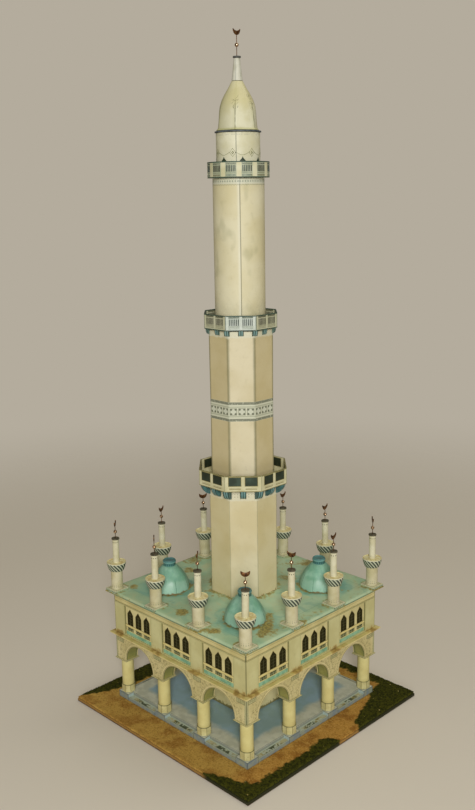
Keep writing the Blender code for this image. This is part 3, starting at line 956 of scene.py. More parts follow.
def make_main_dome():
    foot = extent("main_dome")[0]
    gores, radius = 6, 11.0
    finish = card_finish("main_dome_card", (224, 222, 194), (210, 206, 168),
                         main_dome_print(foot, TURN * radius / gores), patch=9.0, roughness=0.42)
    rings = []
    for height in [0.0, 0.15, 0.3, 0.5, 0.7] + steps(0.9, MAIN_DOME[-1][0], 26):
        flat_share = 0.55 - 0.35 * smoothstep(height, 4.0, 14.0)
        pinch = 0.012 * (1.0 - flat_share)
        rings.append((foot + height, along_path(MAIN_DOME, height), flat_share, pinch))
    shape = Shape()
    shape.gored(finish, (0.0, 0.0), -52.6, gores, 72, radius, rings, 0.05)
    shape.dress("tower_card", "main_dome", sharp=60.0)


def make_spire():
    foot, top, wide = extent("spire")
    narrow = 1.7
    finish = card_finish("spire_card", (212, 211, 196), (196, 195, 176),
                         seam_print(-0.9, (150, 158, 152), 0.22, 0.7),
                         seam_print(2.3, (120, 132, 116), 0.25, 0.6), patch=5.0)
    shape = Shape()
    profile = [(wide + (narrow - wide) * (share ** 0.9), foot + (top - foot) * share)
               for share in steps(0.0, 1.0, 8)]
    shape.turned(round_outline(48, wide, FRONT), [(0.0, foot), *profile, (0.0, top)], finish)
    shape.dress("ivory_card", "spire")


def finial_shape(shape, finishes, at, foot, bead_height, top, turn, radius=2.6):
    """Wire, bead and a bowl-like upturned crescent of metal foil."""
    metal, bead_metal = finishes
    bead, wire, foil = 1.1, 0.2, 0.3
    rise, hollow = radius / 3.0, radius * 0.42
    crescent_height = top - rise
    wire_top = crescent_height - radius + 0.5
    shape.turned(round_outline(12, wire, 0.0, at),
                 [(0.0, foot), (wire, foot), (wire, wire_top), (0.0, wire_top)], metal)
    profile = [polar(bead, angle, (0.0, bead_height)) for angle in steps(-math.pi / 2, math.pi / 2, 12)]
    shape.turned(round_outline(24, bead, 0.0, at), profile, bead_metal)
    side = math.sqrt(radius * radius - rise * rise)
    tip = math.asin(rise / radius)
    across = polar(1.0, math.radians(turn))
    for sign in (-1.0, 1.0):
        rows = []
        for share in steps(0.0, 1.0, 18):
            outer = polar(radius, -math.pi - tip + share * (math.pi + 2 * tip))
            reach = -side * math.cos(math.pi * share)
            inner = (reach, rise - hollow * (1.0 - (reach / side) ** 2))
            row = []
            for part in (0.0, 0.25, 0.75, 1.0):
                u = outer[0] + (inner[0] - outer[0]) * part
                v = outer[1] + (inner[1] - outer[1]) * part
                thick = sign * (0.0 if part in (0.0, 1.0) else foil)
                row.append((at[0] + across[0] * u - across[1] * thick,
                            at[1] + across[1] * u + across[0] * thick, crescent_height + v))
            rows.append(row)
        shape.grid(metal, rows, [[(0.0, 0.0)] * 4] * len(rows))


def metal_finishes():
    """Browned foil and a glossy bead."""
    metal = Finish("finial_foil", 0.38, 0.55)
    metal.bump(metal.noise(0.5, 2.0), 0.05)
    foil = metal.paint(metal.wash(1.1, 3.0, 0.42, 0.64, (112, 76, 40), (62, 36, 16)),
                       0.3 + metal.noise(0.8) * 0.3)
    glass = Finish("finial_bead", 0.13, 0.9)
    return foil, glass.paint(glass.wash(0.7, 2.0, 0.45, 0.62, (206, 176, 146), (150, 118, 90)))


def make_top_finial(finishes):
    foot, top, _ = extent("top_finial")
    cap_top, radius = foot + 0.8, 2.2
    cap = card_finish("top_cap_card", (96, 96, 92), (70, 72, 70), patch=2.0, roughness=0.6)
    shape = Shape()
    shape.turned(round_outline(36, radius, FRONT),
                 [(0.0, foot), (radius - 0.05, foot), (radius, foot + 0.15), (radius, cap_top - 0.2),
                  (radius - 0.2, cap_top), (0.0, cap_top)], cap)
    finial_shape(shape, finishes, (0.0, 0.0), foot=cap_top - 0.3, bead_height=383.4, top=top - 0.02,
                 turn=84.0, radius=2.45)
    shape.dress("finial", "top_finial")


# Small minarets

MINARET_PITCH = 2 * middle("small_minaret_01")[0] / 3
CRESCENT_TURNS = (45, 20, 98, 135, 95, 95, 30, 60, 110, 135, 140, 130)
CARD_RADIUS = 5.0                               # the radius on which their cards are measured


@printed
def hatch_print(finish, base, low, high):
    """Slanting dark stripes round the flared gallery, with a pale rim above them."""
    along, up = finish.card()
    place = (along + (up - low) * 0.75) / (TURN * CARD_RADIUS / 16)
    stripe = finish.math("FRACT", place + 100.0).band(0.08, 0.62, 0.07)
    seen = (up + finish.wander(0.8, 2.0, 0.5)).band(low, high, 0.1)
    return finish.lay(base, [
        (up.band(low - 0.5, high + 0.2, 0.1) * 0.7, (214, 220, 200)),
        (seen * 0.7, (182, 190, 162)),
        (stripe * seen * 0.95, (46, 58, 50))])


def deck_print(finish, base):
    """Golden brown stains on the small galleries' decks."""
    return finish.lay(base, [(finish.patches(1.7, 3.0, 0.50, 0.62) * 0.5, (196, 162, 88))])


@printed
def base_print(finish, base, foot):
    """A pale border with a fine line round each small minaret's base square."""
    place = [abs((value - MINARET_PITCH / 2).nearest(MINARET_PITCH)) for value in (finish.x, finish.y)]
    out = place[0].larger(place[1])
    top = finish.z.step(foot + 0.2, foot + 0.35)
    side = 1.0 - top
    dots = abs(place[0].smaller(place[1]).nearest(1.5)).step(0.50, 0.38)
    rim = finish.z.band(foot - 0.62, foot - 0.25, 0.06)
    return finish.lay(base, [
        ((out - 4.35).line(0.5) * top * 0.8, (232, 218, 192)),
        ((out - 3.8).line(0.18) * top * 0.6, (140, 140, 104)),
        (side * 0.7, (172, 186, 156)),
        (rim * dots * side * 0.85, (56, 78, 68)),
        (finish.z.step(foot - 0.72, foot - 0.82) * 0.7, (70, 96, 76))])


def make_small_minarets(metals):
    foot, top, _ = extent("small_minaret_01")
    base_foot, base_top, half = foot - 0.95, foot + 0.4, 4.8
    cone_foot, gallery_top = 84.2, 89.8
    gallery, lower, upper = 5.75, 3.5, 1.95
    deck = gallery_top - 0.25
    cap_foot, cap_top = 104.1, 104.9
    shaft = card_finish("small_shaft_card", (206, 200, 168), (190, 182, 142),
                        ring_print(16, base_top + 1.6, 0.30, CARD_RADIUS, lower, (110, 116, 96), 0.6),
                        ring_print(16, base_top + 2.7, 0.22, CARD_RADIUS, lower, (130, 132, 108), 0.5),
                        patch=7.0)
    slim = card_finish("small_slim_card", IVORY, IVORY_DEEP,
                       ring_print(10, cap_foot - 1.7, 0.27, CARD_RADIUS, upper, (52, 56, 44), 0.95),
                       patch=7.0)
    cone = card_finish("small_gallery_card", IVORY, IVORY_DEEP,
                       hatch_print(cone_foot + 0.3, gallery_top - 0.65), patch=5.0)
    floor = card_finish("small_floor_card", (236, 230, 182), (220, 209, 152), deck_print, patch=2.6)
    cap = card_finish("small_cap_card", (98, 92, 72), (68, 64, 50), patch=1.5, roughness=0.65)
    base = card_finish("small_base_card", (202, 204, 166), (184, 188, 146), base_print(foot), patch=3.5)
    flare = [(lower + (gallery - lower) * share ** 0.42, cone_foot + (gallery_top - 0.9 - cone_foot) * share)
             for share in (0.0, 0.02, 0.06, 0.12, 0.25, 0.4, 0.6, 0.8, 1.0)]
    parts = (([(0.0, base_top - 0.2), (lower + 0.12, base_top - 0.2), (lower + 0.05, base_top + 0.6),
               (lower, base_top + 1.2), (lower, cone_foot)], shaft),
             (flare + [(gallery, gallery_top)], cone),
             ([(gallery, gallery_top), (gallery - 0.3, gallery_top), (gallery - 0.45, deck), (upper, deck)],
              floor),
             ([(upper, deck), (upper, cap_foot)], slim),
             ([(upper, cap_foot), (2.35, cap_foot), (2.4, cap_foot + 0.3), (2.3, cap_top), (0.0, cap_top)],
              cap))
    chance = random.Random(7)
    for number, turn in enumerate(CRESCENT_TURNS, 1):
        node = f"small_minaret_{number:02d}"
        at = middle(node)
        outline = round_outline(40, CARD_RADIUS, chance.uniform(0.0, 360.0), at)
        shape = Shape()
        corners = [(at[0] + sx * half, at[1] + sy * half) for sx, sy in
                   ((-1, -1), (1, -1), (1, 1), (-1, 1))]
        for z in (base_foot, base_top):
            shape.face(base, [(x, y, z) for x, y in corners])
        for index in range(4):
            first, second = corners[index], corners[(index + 1) % 4]
            shape.face(base, [(*first, base_foot), (*second, base_foot), (*second, base_top),
                              (*first, base_top)], [(0.0, 0.0)] * 4)
        for profile, finish in parts:
            shape.turned(outline, profile, finish)
        finial_shape(shape, metals, at, foot=cap_top - 0.3, bead_height=108.8, top=top - 0.1, turn=turn)
        lean = Matrix.Rotation(math.radians(chance.uniform(-0.7, 0.7)), 4, "X")
        lean = lean @ Matrix.Rotation(math.radians(chance.uniform(-0.7, 0.7)), 4, "Y")
        pivot = Matrix.Translation((*at, base_top))
        shape.dress("ivory_card", node, move=pivot @ lean @ pivot.inverted())


# Corner domes

@printed
def crown_print(finish, base, foot):
    """A row of ticks, and a painted highlight as a pale ring on a crown's raised band."""
    along, up = finish.card()
    height = up - foot
    tick = height.band(0.3, 1.6) * abs(along.nearest(1.25)).step(0.32, 0.2)
    return finish.lay(base, [(height.band(1.9, 2.6) * 0.5, (138, 188, 180)), (tick * 0.85, (40, 82, 80))])


@printed
def corner_dome_print(finish, base, foot, gore):
    """Green patches, streaks down the gores, a painted highlight in a pale band low round the dome, seams,
    and growth at the foot.
    """
    along, up = finish.card()
    height = up - foot
    from_seam = abs(along.nearest(gore))
    wave = finish.wander(3.0, 2.0, 0.6)
    green = finish.patches(6.0, 3.0, 0.44, 0.62) * height.step(2.0, 8.0)
    streak = finish.patches(1.5, 2.0, 0.46, 0.62, (1.0, 1.0, 0.12))
    # Painted highlight: a pale band low round the dome.
    pale = (height + wave * 5.0).band(1.5, 5.5, 2.5)
    seam = (from_seam + wave).line(0.3) * (height + wave * 5.0).step(9.0, 6.5)
    grown = (height + finish.noise(2.2, 3.0) * -3.0).step(-0.6, -1.4)
    return finish.lay(base, [
        (green * 0.55, (116, 168, 138)),
        (streak * 0.3, (112, 160, 146)),
        (pale * 0.3, (190, 220, 204)),
        (seam * 0.7, (84, 126, 104)),
        (grown * 0.9, MOSS)])


def make_corner_domes():
    foot = extent("corner_dome_south_east")[0]
    rise, radius, seat, gores = 14.7, 12.4, 4.2, 8
    crown_foot = foot + rise
    top = crown_foot + 3.3
    finish = card_finish("corner_dome_card", (149, 194, 172), (121, 172, 146),
                         corner_dome_print(foot, TURN * radius / gores), patch=8.0, roughness=0.36)
    crown = card_finish("corner_crown_card", (88, 138, 136), (68, 114, 114),
                        crown_print(crown_foot), patch=4.0, roughness=0.4)
    rings = [(foot + rise * share, seat + (radius - seat) * (1.0 - share ** 1.9), 0.75 - 0.35 * share,
              0.03 * (1.0 - share)) for share in steps(0.0, 1.0, 14)]
    profile = [(3.7, crown_foot - 0.3), (3.75, crown_foot + 1.7), (4.0, crown_foot + 2.0),
               (4.0, crown_foot + 2.6), (3.75, crown_foot + 2.8), (3.75, top - 0.2), (3.6, top),
               (3.2, top), (3.0, top - 0.4), (0.0, top - 0.4)]
    for number, corner in enumerate(CORNERS):
        node = f"corner_dome_{corner}"
        at = middle(node)
        shape = Shape()
        shape.gored(finish, at, 22.5, gores, 64, radius, rings, 0.08)
        shape.turned(round_outline(40, 4.0, 10.0 * number, at), profile, crown)
        shape.dress("dome_card", node, sharp=50.0)


# Upper storey

BAY = 34.5
BAYS = (-BAY, 0.0, BAY)
PANEL = 12.2                                    # half the width of a recessed panel
PANEL_TOP = 64.0
WINDOW_PITCH = 7.65


def from_pier(along):
    """The distance along a side from the middle of the nearest inner pier."""
    return abs((along - BAY / 2).nearest(BAY))


@printed
def upper_wall_print(finish, base, face, foot, top):
    """Lines at the top and the corners, painted shade on the side walls of the panels' recesses, and brown
    growth at the piers' feet.
    """
    along, up = finish.card()
    # Painted shade on the side walls of the recessed panels.
    recess_shade = (abs(along.nearest(BAY)) - PANEL).line(0.16, 0.04) * up.band(foot + 0.8, PANEL_TOP)
    pier = from_pier(along)
    amount = pier.step(8.5, 1.0) * 0.5 + finish.noise(3.2, 4.0) * 1.5 - (up - foot) * 0.16
    return finish.lay(base, [
        ((up - (top - 0.35)).line(0.18) * 0.6, OLIVE),
        (abs(along).step(face - 0.7, face - 0.2) * 0.6, (78, 80, 46)),
        (recess_shade * 0.85, (96, 98, 64)),
        (pier.step(2.8, 5.2) * 0.3, (176, 172, 114)),
        (amount.step(0.90, 1.10) * 0.5, (176, 146, 76)),
        (amount.step(1.10, 1.26) * 0.6, (134, 104, 48))])


def make_upper_walls():
    low, high = box("upper_wall_south")
    face = -low.y
    end = face - MITRE
    recess, back = 0.7, 1.6
    foot, top = low.z, high.z
    stone = card_finish("upper_wall_card", STONE, STONE_DEEP, upper_wall_print(face, foot, top), patch=12.0)
    inner = card_finish("upper_panel_card", (212, 202, 148), (196, 186, 130), patch=9.0)
    ink = card_finish("upper_wall_ink", OLIVE_DARK, (76, 70, 36), patch=3.0)
    soft_ink = card_finish("upper_wall_line", (146, 134, 84), (126, 116, 70), patch=3.0)
    rail = card_finish("upper_rail_card", (222, 208, 142), (206, 190, 122), patch=5.0)
    glass = card_finish("window_card", WINDOW, (36, 34, 11), patch=2.5, roughness=0.7, shine=0.1)
    bars = card_finish("window_bars", (88, 86, 52), (70, 68, 38), patch=1.5)
    motif = card_finish("balustrade_card", (70, 76, 44), (52, 58, 32), patch=1.6)
    pale = card_finish("balustrade_pale", (176, 178, 132), (158, 160, 112), patch=1.6)
    sill = card_finish("sill_teal_card", (146, 188, 156), (118, 162, 132), patch=2.6)
    strips = (                                  # across each panel: inset at its ends, foot, top, rise
        (soft_ink, 0.3, 63.6, 63.85, 0.04),
        (soft_ink, 0.1, 50.55, 52.2, 0.05),
        (rail, 0.1, 50.8, 51.95, 0.16),
        (rail, 0.1, 45.45, 48.25, 0.10),
        (sill, 0.4, 45.6, 47.95, 0.14))
    us = [-end, *(bay + sign * PANEL for bay in BAYS for sign in (-1, 1)), end]
    vs = [foot, foot + 0.7, PANEL_TOP, top]

    def recessed(column, row):
        return row == 1 and column % 2 == 1

    for side, angle in SIDES.items():
        shape = Shape()
        shape.relief(flat(angle, face, end), us, vs, lambda c, r: inner if recessed(c, r) else stone,
                     lambda c, r: -recess if recessed(c, r) else 0.0, -back)
        wall = flat(angle, face - recess)
        for centre in BAYS:
            for sign in (-1, 1):
                shape.strip(ink, wall, centre + sign * (PANEL - 0.25), 0.1, 48.2, 63.9, 0.04)
            for finish, inset, strip_foot, strip_top, rise in strips:
                shape.strip(finish, wall, centre, PANEL - inset, strip_foot, strip_top, rise)
            for window in (-1, 0, 1):
                at = centre + window * WINDOW_PITCH
                window_print(shape, wall, at, foot=52.2, spring=59.3, apex=61.7, width=5.1,
                             finishes=(soft_ink, glass, bars))
                shape.strip(motif, wall, at, 2.6, 48.4, 50.4, 0.05)
                for spot in (-1.75, 0.0, 1.75):
                    shape.diamond(pale, wall, at + spot, 49.3, 0.72, 0.78, 0.2, 0.09)
                    shape.ring(pale, wall, at + spot, 49.3, 0.26, 0.12, 0.09, 8)
        shape.dress("wall_card", f"upper_wall_{side}")


def window_print(shape, place, centre, foot, spring, apex, width, finishes):
    """A dark window with a pointed head, a thin outline and faint bars."""
    edge, glass, bars = finishes

    def head(u, half, top):
        share = min(abs(u) / half, 1.0)
        return spring + (top - spring) * (1.0 - share ** 1.6) + 0.6 * max(1.0 - share * 3.0, 0.0)

    for finish, half, top, rise in ((edge, width / 2 + 0.22, apex + 0.35, 0.04),
                                    (glass, width / 2, apex, 0.07)):
        pairs = [((centre + u, foot), (centre + u, head(u, half, top))) for u in steps(-half, half, 18)]
        shape.plate(finish, place, pairs, rise)
    shape.strip(bars, place, centre, 0.12, foot + 0.3, spring + 0.8, 0.09)
    for height in steps(foot + 1.6, spring, 3):
        shape.strip(bars, place, centre, 2.0, height - 0.06, height + 0.06, 0.08)


# Arcade and columns

ARCH = 12.75                                    # radius of the arches, which spring from the wall's foot


@printed
def arcade_print(finish, base, face, foot, top):
    """Small curled marks over the spandrels, a dark line round each arch, and the folds."""
    along, up = finish.card()
    bay, rise = along.nearest(BAY), up - foot
    out = bay.length(rise) - ARCH
    aside = abs(along)
    curls = (finish.noise(1.9, 1.5, twist=2.4) - 0.5).line(0.05, 0.03)
    field = out.step(0.9, 1.5) * up.step(top - 1.2, top - 1.9) * aside.step(face - 2.4, face - 4.2)
    bead = (finish.math("ARCTAN2", rise, bay) * ARCH).nearest(1.5).length(out - 2.1)
    return finish.lay(base, [
        (field * 0.25, (180, 170, 114)),
        (curls * finish.patches(1.7, 1.0, 0.46, 0.56) * field * 0.7, (104, 92, 50)),
        ((out - 0.25).line(0.22) * 0.7, OLIVE),
        (bead.step(0.5, 0.3) * 0.3, (120, 110, 62)),
        ((out - 1.5).line(0.16) * 0.25, OLIVE),
        (aside.step(face - 2.2, face - 0.8) * 0.5, (132, 146, 112)),
        (aside.step(face - 0.45, face - 0.1) * 0.6, (78, 92, 66)),
        ((up - (top - 0.9)).line(0.16) * 0.5, OLIVE)])


@printed
def soffit_edge_shade(finish, base, centre, half):
    """Painted shade: darker edges on both sides of the arches' undersides."""
    across, _ = finish.square()
    return finish.lay(base, [(abs(across - centre).step(half - 1.9, half - 1.0) * 0.6, (92, 104, 66))])


def arcade_section(shape, finish, place, end, foot, top, radius, front, back):
    """An arcade wall between two depths, with arches of the given radius."""
    us = {-end, end}
    for bay in BAYS:
        us.update(round(bay + radius * math.cos(angle), 5) for angle in steps(0.0, math.pi, 40))

    def under(u):
        away = min(abs(u - bay) for bay in BAYS)
        return foot + (math.sqrt(max(radius * radius - away * away, 0.0)) if away < radius else 0.0)

    sheets, cards = [], []
    for rise in (front, back):
        cut = [min(max(u, -end - rise), end + rise) for u in sorted(us)]
        card = [[(u, under(u)) for u in cut], [(u, top) for u in cut]]
        sheet = [[place(u, v, rise) for u, v in row] for row in card]
        shape.grid(finish, sheet, card)
        sheets.append(sheet)
        cards.append(card)
    for row in (0, 1):
        shape.grid(finish, [sheet[row] for sheet in sheets], [cards[0][row]] * 2)
    for tip in (0, -1):
        shape.grid(finish, [[row[tip] for row in sheet] for sheet in sheets],
                   [[(0.0, foot), (0.0, top)]] * 2)


def make_arcades():
    low, high = box("arcade_south")
    face = -low.y
    foot, top = low.z, high.z
    depth = high.y - low.y
    end = face - MITRE
    lip = 0.45                                  # depth of the paler lips at the arches' edges
    plaque_height = 40.0
    card = card_finish("arcade_card", (214, 202, 150), (200, 188, 134), arcade_print(face, foot, top),
                       patch=9.0)
    body = card_finish("arcade_soffit_card", (158, 154, 88), (136, 138, 78),
                       soffit_edge_shade(face - depth / 2, depth / 2), patch=5.0)
    frame_ink = card_finish("plaque_frame", (122, 116, 72), (104, 100, 60), patch=2.0)
    plaque = card_finish("plaque_card", (188, 184, 136), (170, 168, 120), patch=2.0)
    for side, angle in SIDES.items():
        shape = Shape()
        place = flat(angle, face)
        for finish, radius, front, back in (
                (card, ARCH, 0.0, -lip),
                (body, ARCH + 0.25, 0.02 - lip, lip - 0.03 - depth),
                (card, ARCH, lip - depth, -depth)):
            arcade_section(shape, finish, place, end, foot, top, radius, front, back)
        for centre in (4.4 - face, -BAY / 2, BAY / 2, face - 4.4):
            shape.strip(frame_ink, place, centre, 3.1, plaque_height - 1.3, plaque_height + 1.3, 0.03)
            shape.strip(plaque, place, centre, 2.8, plaque_height - 1.0, plaque_height + 1.0, 0.06)
            for spot in (-1.6, 0.0, 1.6):
                shape.diamond(frame_ink, place, centre + spot, plaque_height, 0.62, 0.72, 0.2, 0.08)
        shape.dress("wall_card", f"arcade_{side}")


@printed
def collar_print(finish, base, half, foot, top):
    """Folds, a line under the top edge, and faint marks on a column's collar."""
    along, up = finish.card()
    marks = finish.patches(0.9, 2.0, 0.60, 0.68) * up.band(foot + 0.6, foot + 3.4)
    return finish.lay(base, [
        (abs(along).step(half - 0.28, half - 0.08) * 0.75, OLIVE),
        ((up - (top - 0.12)).line(0.3) * 0.8, (96, 96, 60)),
        (marks * 0.35, OLIVE)])


@printed
def shade_print(finish, base, *shades):
    """Darker ends of an upright piece: each shade has no colour at one height, and all at another."""
    return finish.lay(base, [(finish.z.step(clear, full) * strength, colour)
                             for clear, full, strength, colour in shades])


def make_columns():
    foot, top, _ = extent("column_01")
    collar, collar_top = 4.3 * math.cos(math.pi / 8), foot + 4.8
    radius, slab = 3.7, 5.2
    ring_card = card_finish("collar_card", (208, 202, 148), (192, 184, 128),
                            collar_print(collar * EIGHTH, foot, collar_top), patch=5.0)
    shaft_card = card_finish("column_card", COLUMN, COLUMN_DEEP, shade_print(
        (collar_top + 2.5, collar_top, 0.25, (178, 164, 104)),
        (top - 2.2, top - 0.4, 0.45, (150, 144, 90))), patch=8.0)
    slab_card = card_finish("abacus_card", (212, 204, 152), (194, 186, 132), shade_print(
        (top - 0.14, top - 0.26, 0.85, (88, 98, 62))), patch=5.0)
    for number in range(1, 13):
        node = f"column_{number:02d}"
        at = middle(node)
        shape = Shape()
        shape.turned(folded_outline(8, 0.18, at),
                     [(0.0, foot), (collar, foot), (collar, collar_top - 0.12),
                      (collar - 0.12, collar_top), (0.0, collar_top)], ring_card)
        shape.turned(round_outline(40, radius, FRONT + 180.0, at),
                     [(0.0, foot + 0.4), (radius, foot + 0.4), (radius, top - 0.4), (0.0, top - 0.4)],
                     shaft_card)
        shape.turned(folded_outline(4, 0.12, at),
                     [(0.0, top - 0.5), (slab - 0.1, top - 0.5), (slab, top - 0.4), (slab, top),
                      (0.0, top)], slab_card)
        shape.dress("wall_card", node)


# Kept CAD pieces

def plinth_finish():
    """Printed paving, khaki, with painted shade in blue-grey inside under the arcade; mottled steps and pale
    block fronts.
    """
    _, top, half = extent("plinth")
    finish = Finish("plinth_card", 0.45)
    height = finish.z
    across, along = finish.square()
    inward = half - across

    # Painted shade: blue-grey inside, under the arcade, fading to khaki towards the edge.
    colour = finish.mix((inward + finish.wander(9.0, 3.0, 9.0)).step(15.5, 10.5),
                        finish.wash(14.0, 3.0, 0.36, 0.64, (150, 180, 193), (140, 168, 168)),
                        finish.wash(5.0, 3.0, 0.36, 0.64, (208, 211, 192), (189, 193, 173)))
    worn = finish.noise(2.4, 4.0, twist=0.8) + finish.wander(9.0, 2.0, 0.5)
    spot = abs(along.nearest(BAY))
    blotch = (worn + spot.step(7.0, 1.0) * 0.12).step(0.55, 0.62) * spot.step(9.0, 6.0)
    ochre = finish.patches(2.2, 3.0, 0.52, 0.60) * spot.band(3.0, 7.5, 1.5)
    treads = finish.lay(finish.mix(worn.step(0.42, 0.56), tone(182, 192, 172), tone(182, 176, 134)), [
        (blotch * 0.9, (58, 74, 52)),
        (ochre * 0.75, (152, 138, 76)),
        (1.0 - inward.band(1.0, 3.2, 0.4), (174, 184, 164)),
        ((inward - 0.9).line(0.16) * 0.5, (86, 98, 92))])
    colour = finish.mix(height.step(2.9, 2.6) * height.step(1.9, 2.2), colour, treads)
    block = from_pier(along)
    riser = height.band(2.7, 4.1, 0.2) * inward.band(3.4, 4.05, 0.05)
    back_line = (inward - 4.3).line(0.2) * block.band(4.4, 20.0, 0.15)
    colour = finish.lay(colour, [(riser, (142, 148, 136)), (back_line * 0.75, (66, 78, 74))])
    front = inward.step(0.25, 0.05)
    colour = finish.mix(front, colour, finish.wash(4.0, 2.0, 0.4, 0.6, (130, 145, 150), (148, 157, 140)))
    outer = inward.step(4.1, 3.9)
    block_top = height.step(top - 0.25, top - 0.15)
    block_side = block.band(4.45, 4.75, 0.05) * outer * (1.0 - front) * (1.0 - block_top)
    joints = (block - 4.6).line(0.26) * outer * front.larger(block_top)
    corner = along.step(half - 0.5, half - 0.1) * front
    top_edge = (inward - 0.1).line(0.2) * height.step(3.6, 4.0)
    dirt = (height + finish.wander(1.2, 2.0, 1.2)).step(0.9, 0.2) * front
    line = (70, 82, 82)
    colour = finish.lay(colour, [
        (block_side, (166, 184, 180)),
        (joints * 0.8, line),
        (corner * 0.8, line),
        (top_edge * 0.45, line),
        (dirt * 0.7, (96, 78, 40))])
    finish.bump(finish.noise(6.0, 1.0), 0.1)
    finish.bump(finish.noise(0.5, 3.0), 0.012)
    return finish.paint(colour, 0.38 + finish.noise(6.0) * 0.2)


@printed
def core_print(finish, base, foot, half):
    """Growth at the foot of the card box, and its dark corners."""
    _, along = finish.square()
    grown = (finish.z - foot - finish.noise(2.4, 3.0) * 5.0).step(-0.4, -1.2)
    return finish.lay(base, [
        (grown * 0.85, (96, 92, 48)),
        (along.step(half - 0.6, half - 0.1) * 0.6, OLIVE_DARK)])


@printed
def ledge_print(finish, base, half):
    """A pale edge, and growth round the feet of the piers."""
    across, along = finish.square()
    amount = from_pier(along).step(7.5, 1.0) * 0.45 + finish.noise(3.2, 4.0) * 1.5
    return finish.lay(base, [
        ((half - across).step(0.4, 0.05) * 0.5, (222, 208, 150)),
        (amount.step(0.90, 1.10) * 0.6, (180, 148, 76)),
        (amount.step(1.10, 1.28) * 0.6, (134, 104, 48))])


@printed
def cornice_print(finish, base, lines):
    """Fine level lines, and dark mitres at the corners."""
    across, along = finish.square()
    base = finish.lay(base, [((finish.z - height).line(width) * strength, OLIVE)
                             for height, width, strength in lines])
    return finish.lay(base, [((across - along).step(0.8, 0.3) * 0.75, (58, 74, 48))])


def make_cornices():
    """The wall's upright top strip, and the steep flare that carries the roof's edge."""
    low, high = box("cornice_south")
    back, reach = -high.y, -low.y
    foot, top = low.z, high.z
    face = -box("upper_wall_south")[0].y
    bend = foot + 3.5
    profile = [(back, foot), (face, foot), (face, bend), (reach, top), (back, top), (back, foot)]
    lines = ((bend + 0.1, 0.25, 0.6), (bend - 1.3, 0.2, 0.4), (foot + 0.2, 0.25, 0.5))
    finish = card_finish("cornice_card", (210, 199, 142), (196, 184, 126), cornice_print(lines), patch=10.0)
    for side, angle in SIDES.items():
        place = flat(angle, 0.0)
        shape = Shape()
        rows = [[place(end * (distance - MITRE), height, distance) for end in (-1.0, 1.0)]
                for distance, height in profile]
        cards = [[(-distance, height), (distance, height)] for distance, height in profile]
        shape.grid(finish, rows, cards)
        for end in (0, 1):
            shape.face(finish, [row[end] for row in rows[:-1]], [card[end] for card in cards[:-1]])
        shape.dress("wall_card", f"cornice_{side}")


ROOF_GROWTH = (                                 # thicker patches of brown growth: x, y, radius
    (30.0, -53.0, 4.0), (-1.0, -50.0, 4.5), (37.0, -18.0, 2.8), (39.4, -20.2, 3.0), (41.8, -22.6, 3.2),
    (43.9, -25.2, 3.2), (45.8, -28.0, 3.2), (47.4, -31.0, 3.2), (48.9, -34.2, 3.0), (50.2, -37.4, 3.0),
    (51.5, -40.5, 3.2),
    (11.0, 26.0, 6.0), (-43.0, -7.0, 5.0), (-49.0, -46.0, 3.5), (-20.0, 56.0, 6.0), (5.0, 56.0, 6.0),
    (-56.0, 5.0, 6.0), (-24.0, 8.0, 4.0))


@printed
def roof_print(finish, base, half, tower, domes, minarets):
    """Verdigris wash, darker teal round the corner domes, and growth round everything that stands on the
    roof.
    """
    wash = finish.noise(11.0, 4.0, twist=0.8)
    across, along = finish.square()
    inward = half - across
    walk = half - MINARET_PITCH * 1.5 + 5.2
    corner = along.step(half - 11.0, half - 9.5)
    dash = abs(along.nearest(1.7)).step(0.55, 0.42)
    base = finish.lay(base, [
        (wash.step(0.52, 0.68) * 0.5, (194, 196, 150)),
        (wash.step(0.47, 0.34) * 0.55, (134, 178, 156)),
        (inward.step(walk, walk - 0.2) * 0.25, (176, 200, 152)),
        ((inward - walk).line(0.18) * 0.45, (96, 122, 96)),
        (inward.step(1.7, 1.4) * (corner * 0.6 + 0.15), (212, 210, 178)),
        (inward.band(0.55, 1.25) * dash * corner * 0.9, (56, 78, 68)),
        (inward.step(0.3, 0.15) * 0.75, (74, 100, 78))])
    # Darker teal round each corner dome, darkest next to its foot.
    for at in domes:
        away = finish.away(at) + (wash - 0.5) * 12.0
        base = finish.lay(base, [
            (away.step(21.0, 14.0) * 0.6, (132, 184, 164)),
            (away.step(16.0, 12.5) * 0.5, (96, 150, 134))])
    near = [abs(finish.away(at) - reach - 1.4).step(width, 0.6) for places, reach, width in
            ((domes, 9.8, 3.6), (minarets, 4.4, 2.6)) for at in places]
    octagon = across.larger((abs(finish.x) + abs(finish.y)) * math.sqrt(0.5))
    near.append((octagon - tower).step(4.0, 0.6))
    near += [finish.away((x, y)).step(reach * 1.5, reach * 0.4) * 1.4 for x, y, reach in ROOF_GROWTH]
    growth = near[0]
    for share in near[1:]:
        growth = growth.larger(share)
    amount = (growth * 0.34 + finish.noise(2.3, 4.0) * 1.1 + finish.noise(13.0, 2.0) * 1.4
              + finish.wander(0.9, 3.0, 0.5))
    base = finish.lay(base, [(amount.step(1.42, 1.64) * 0.7, (166, 160, 98))])
    return finish.mix(amount.step(1.56, 1.80) * 0.8, base,
                      finish.wash(1.3, 3.0, 0.40, 0.60, (172, 150, 70), (116, 102, 46)))


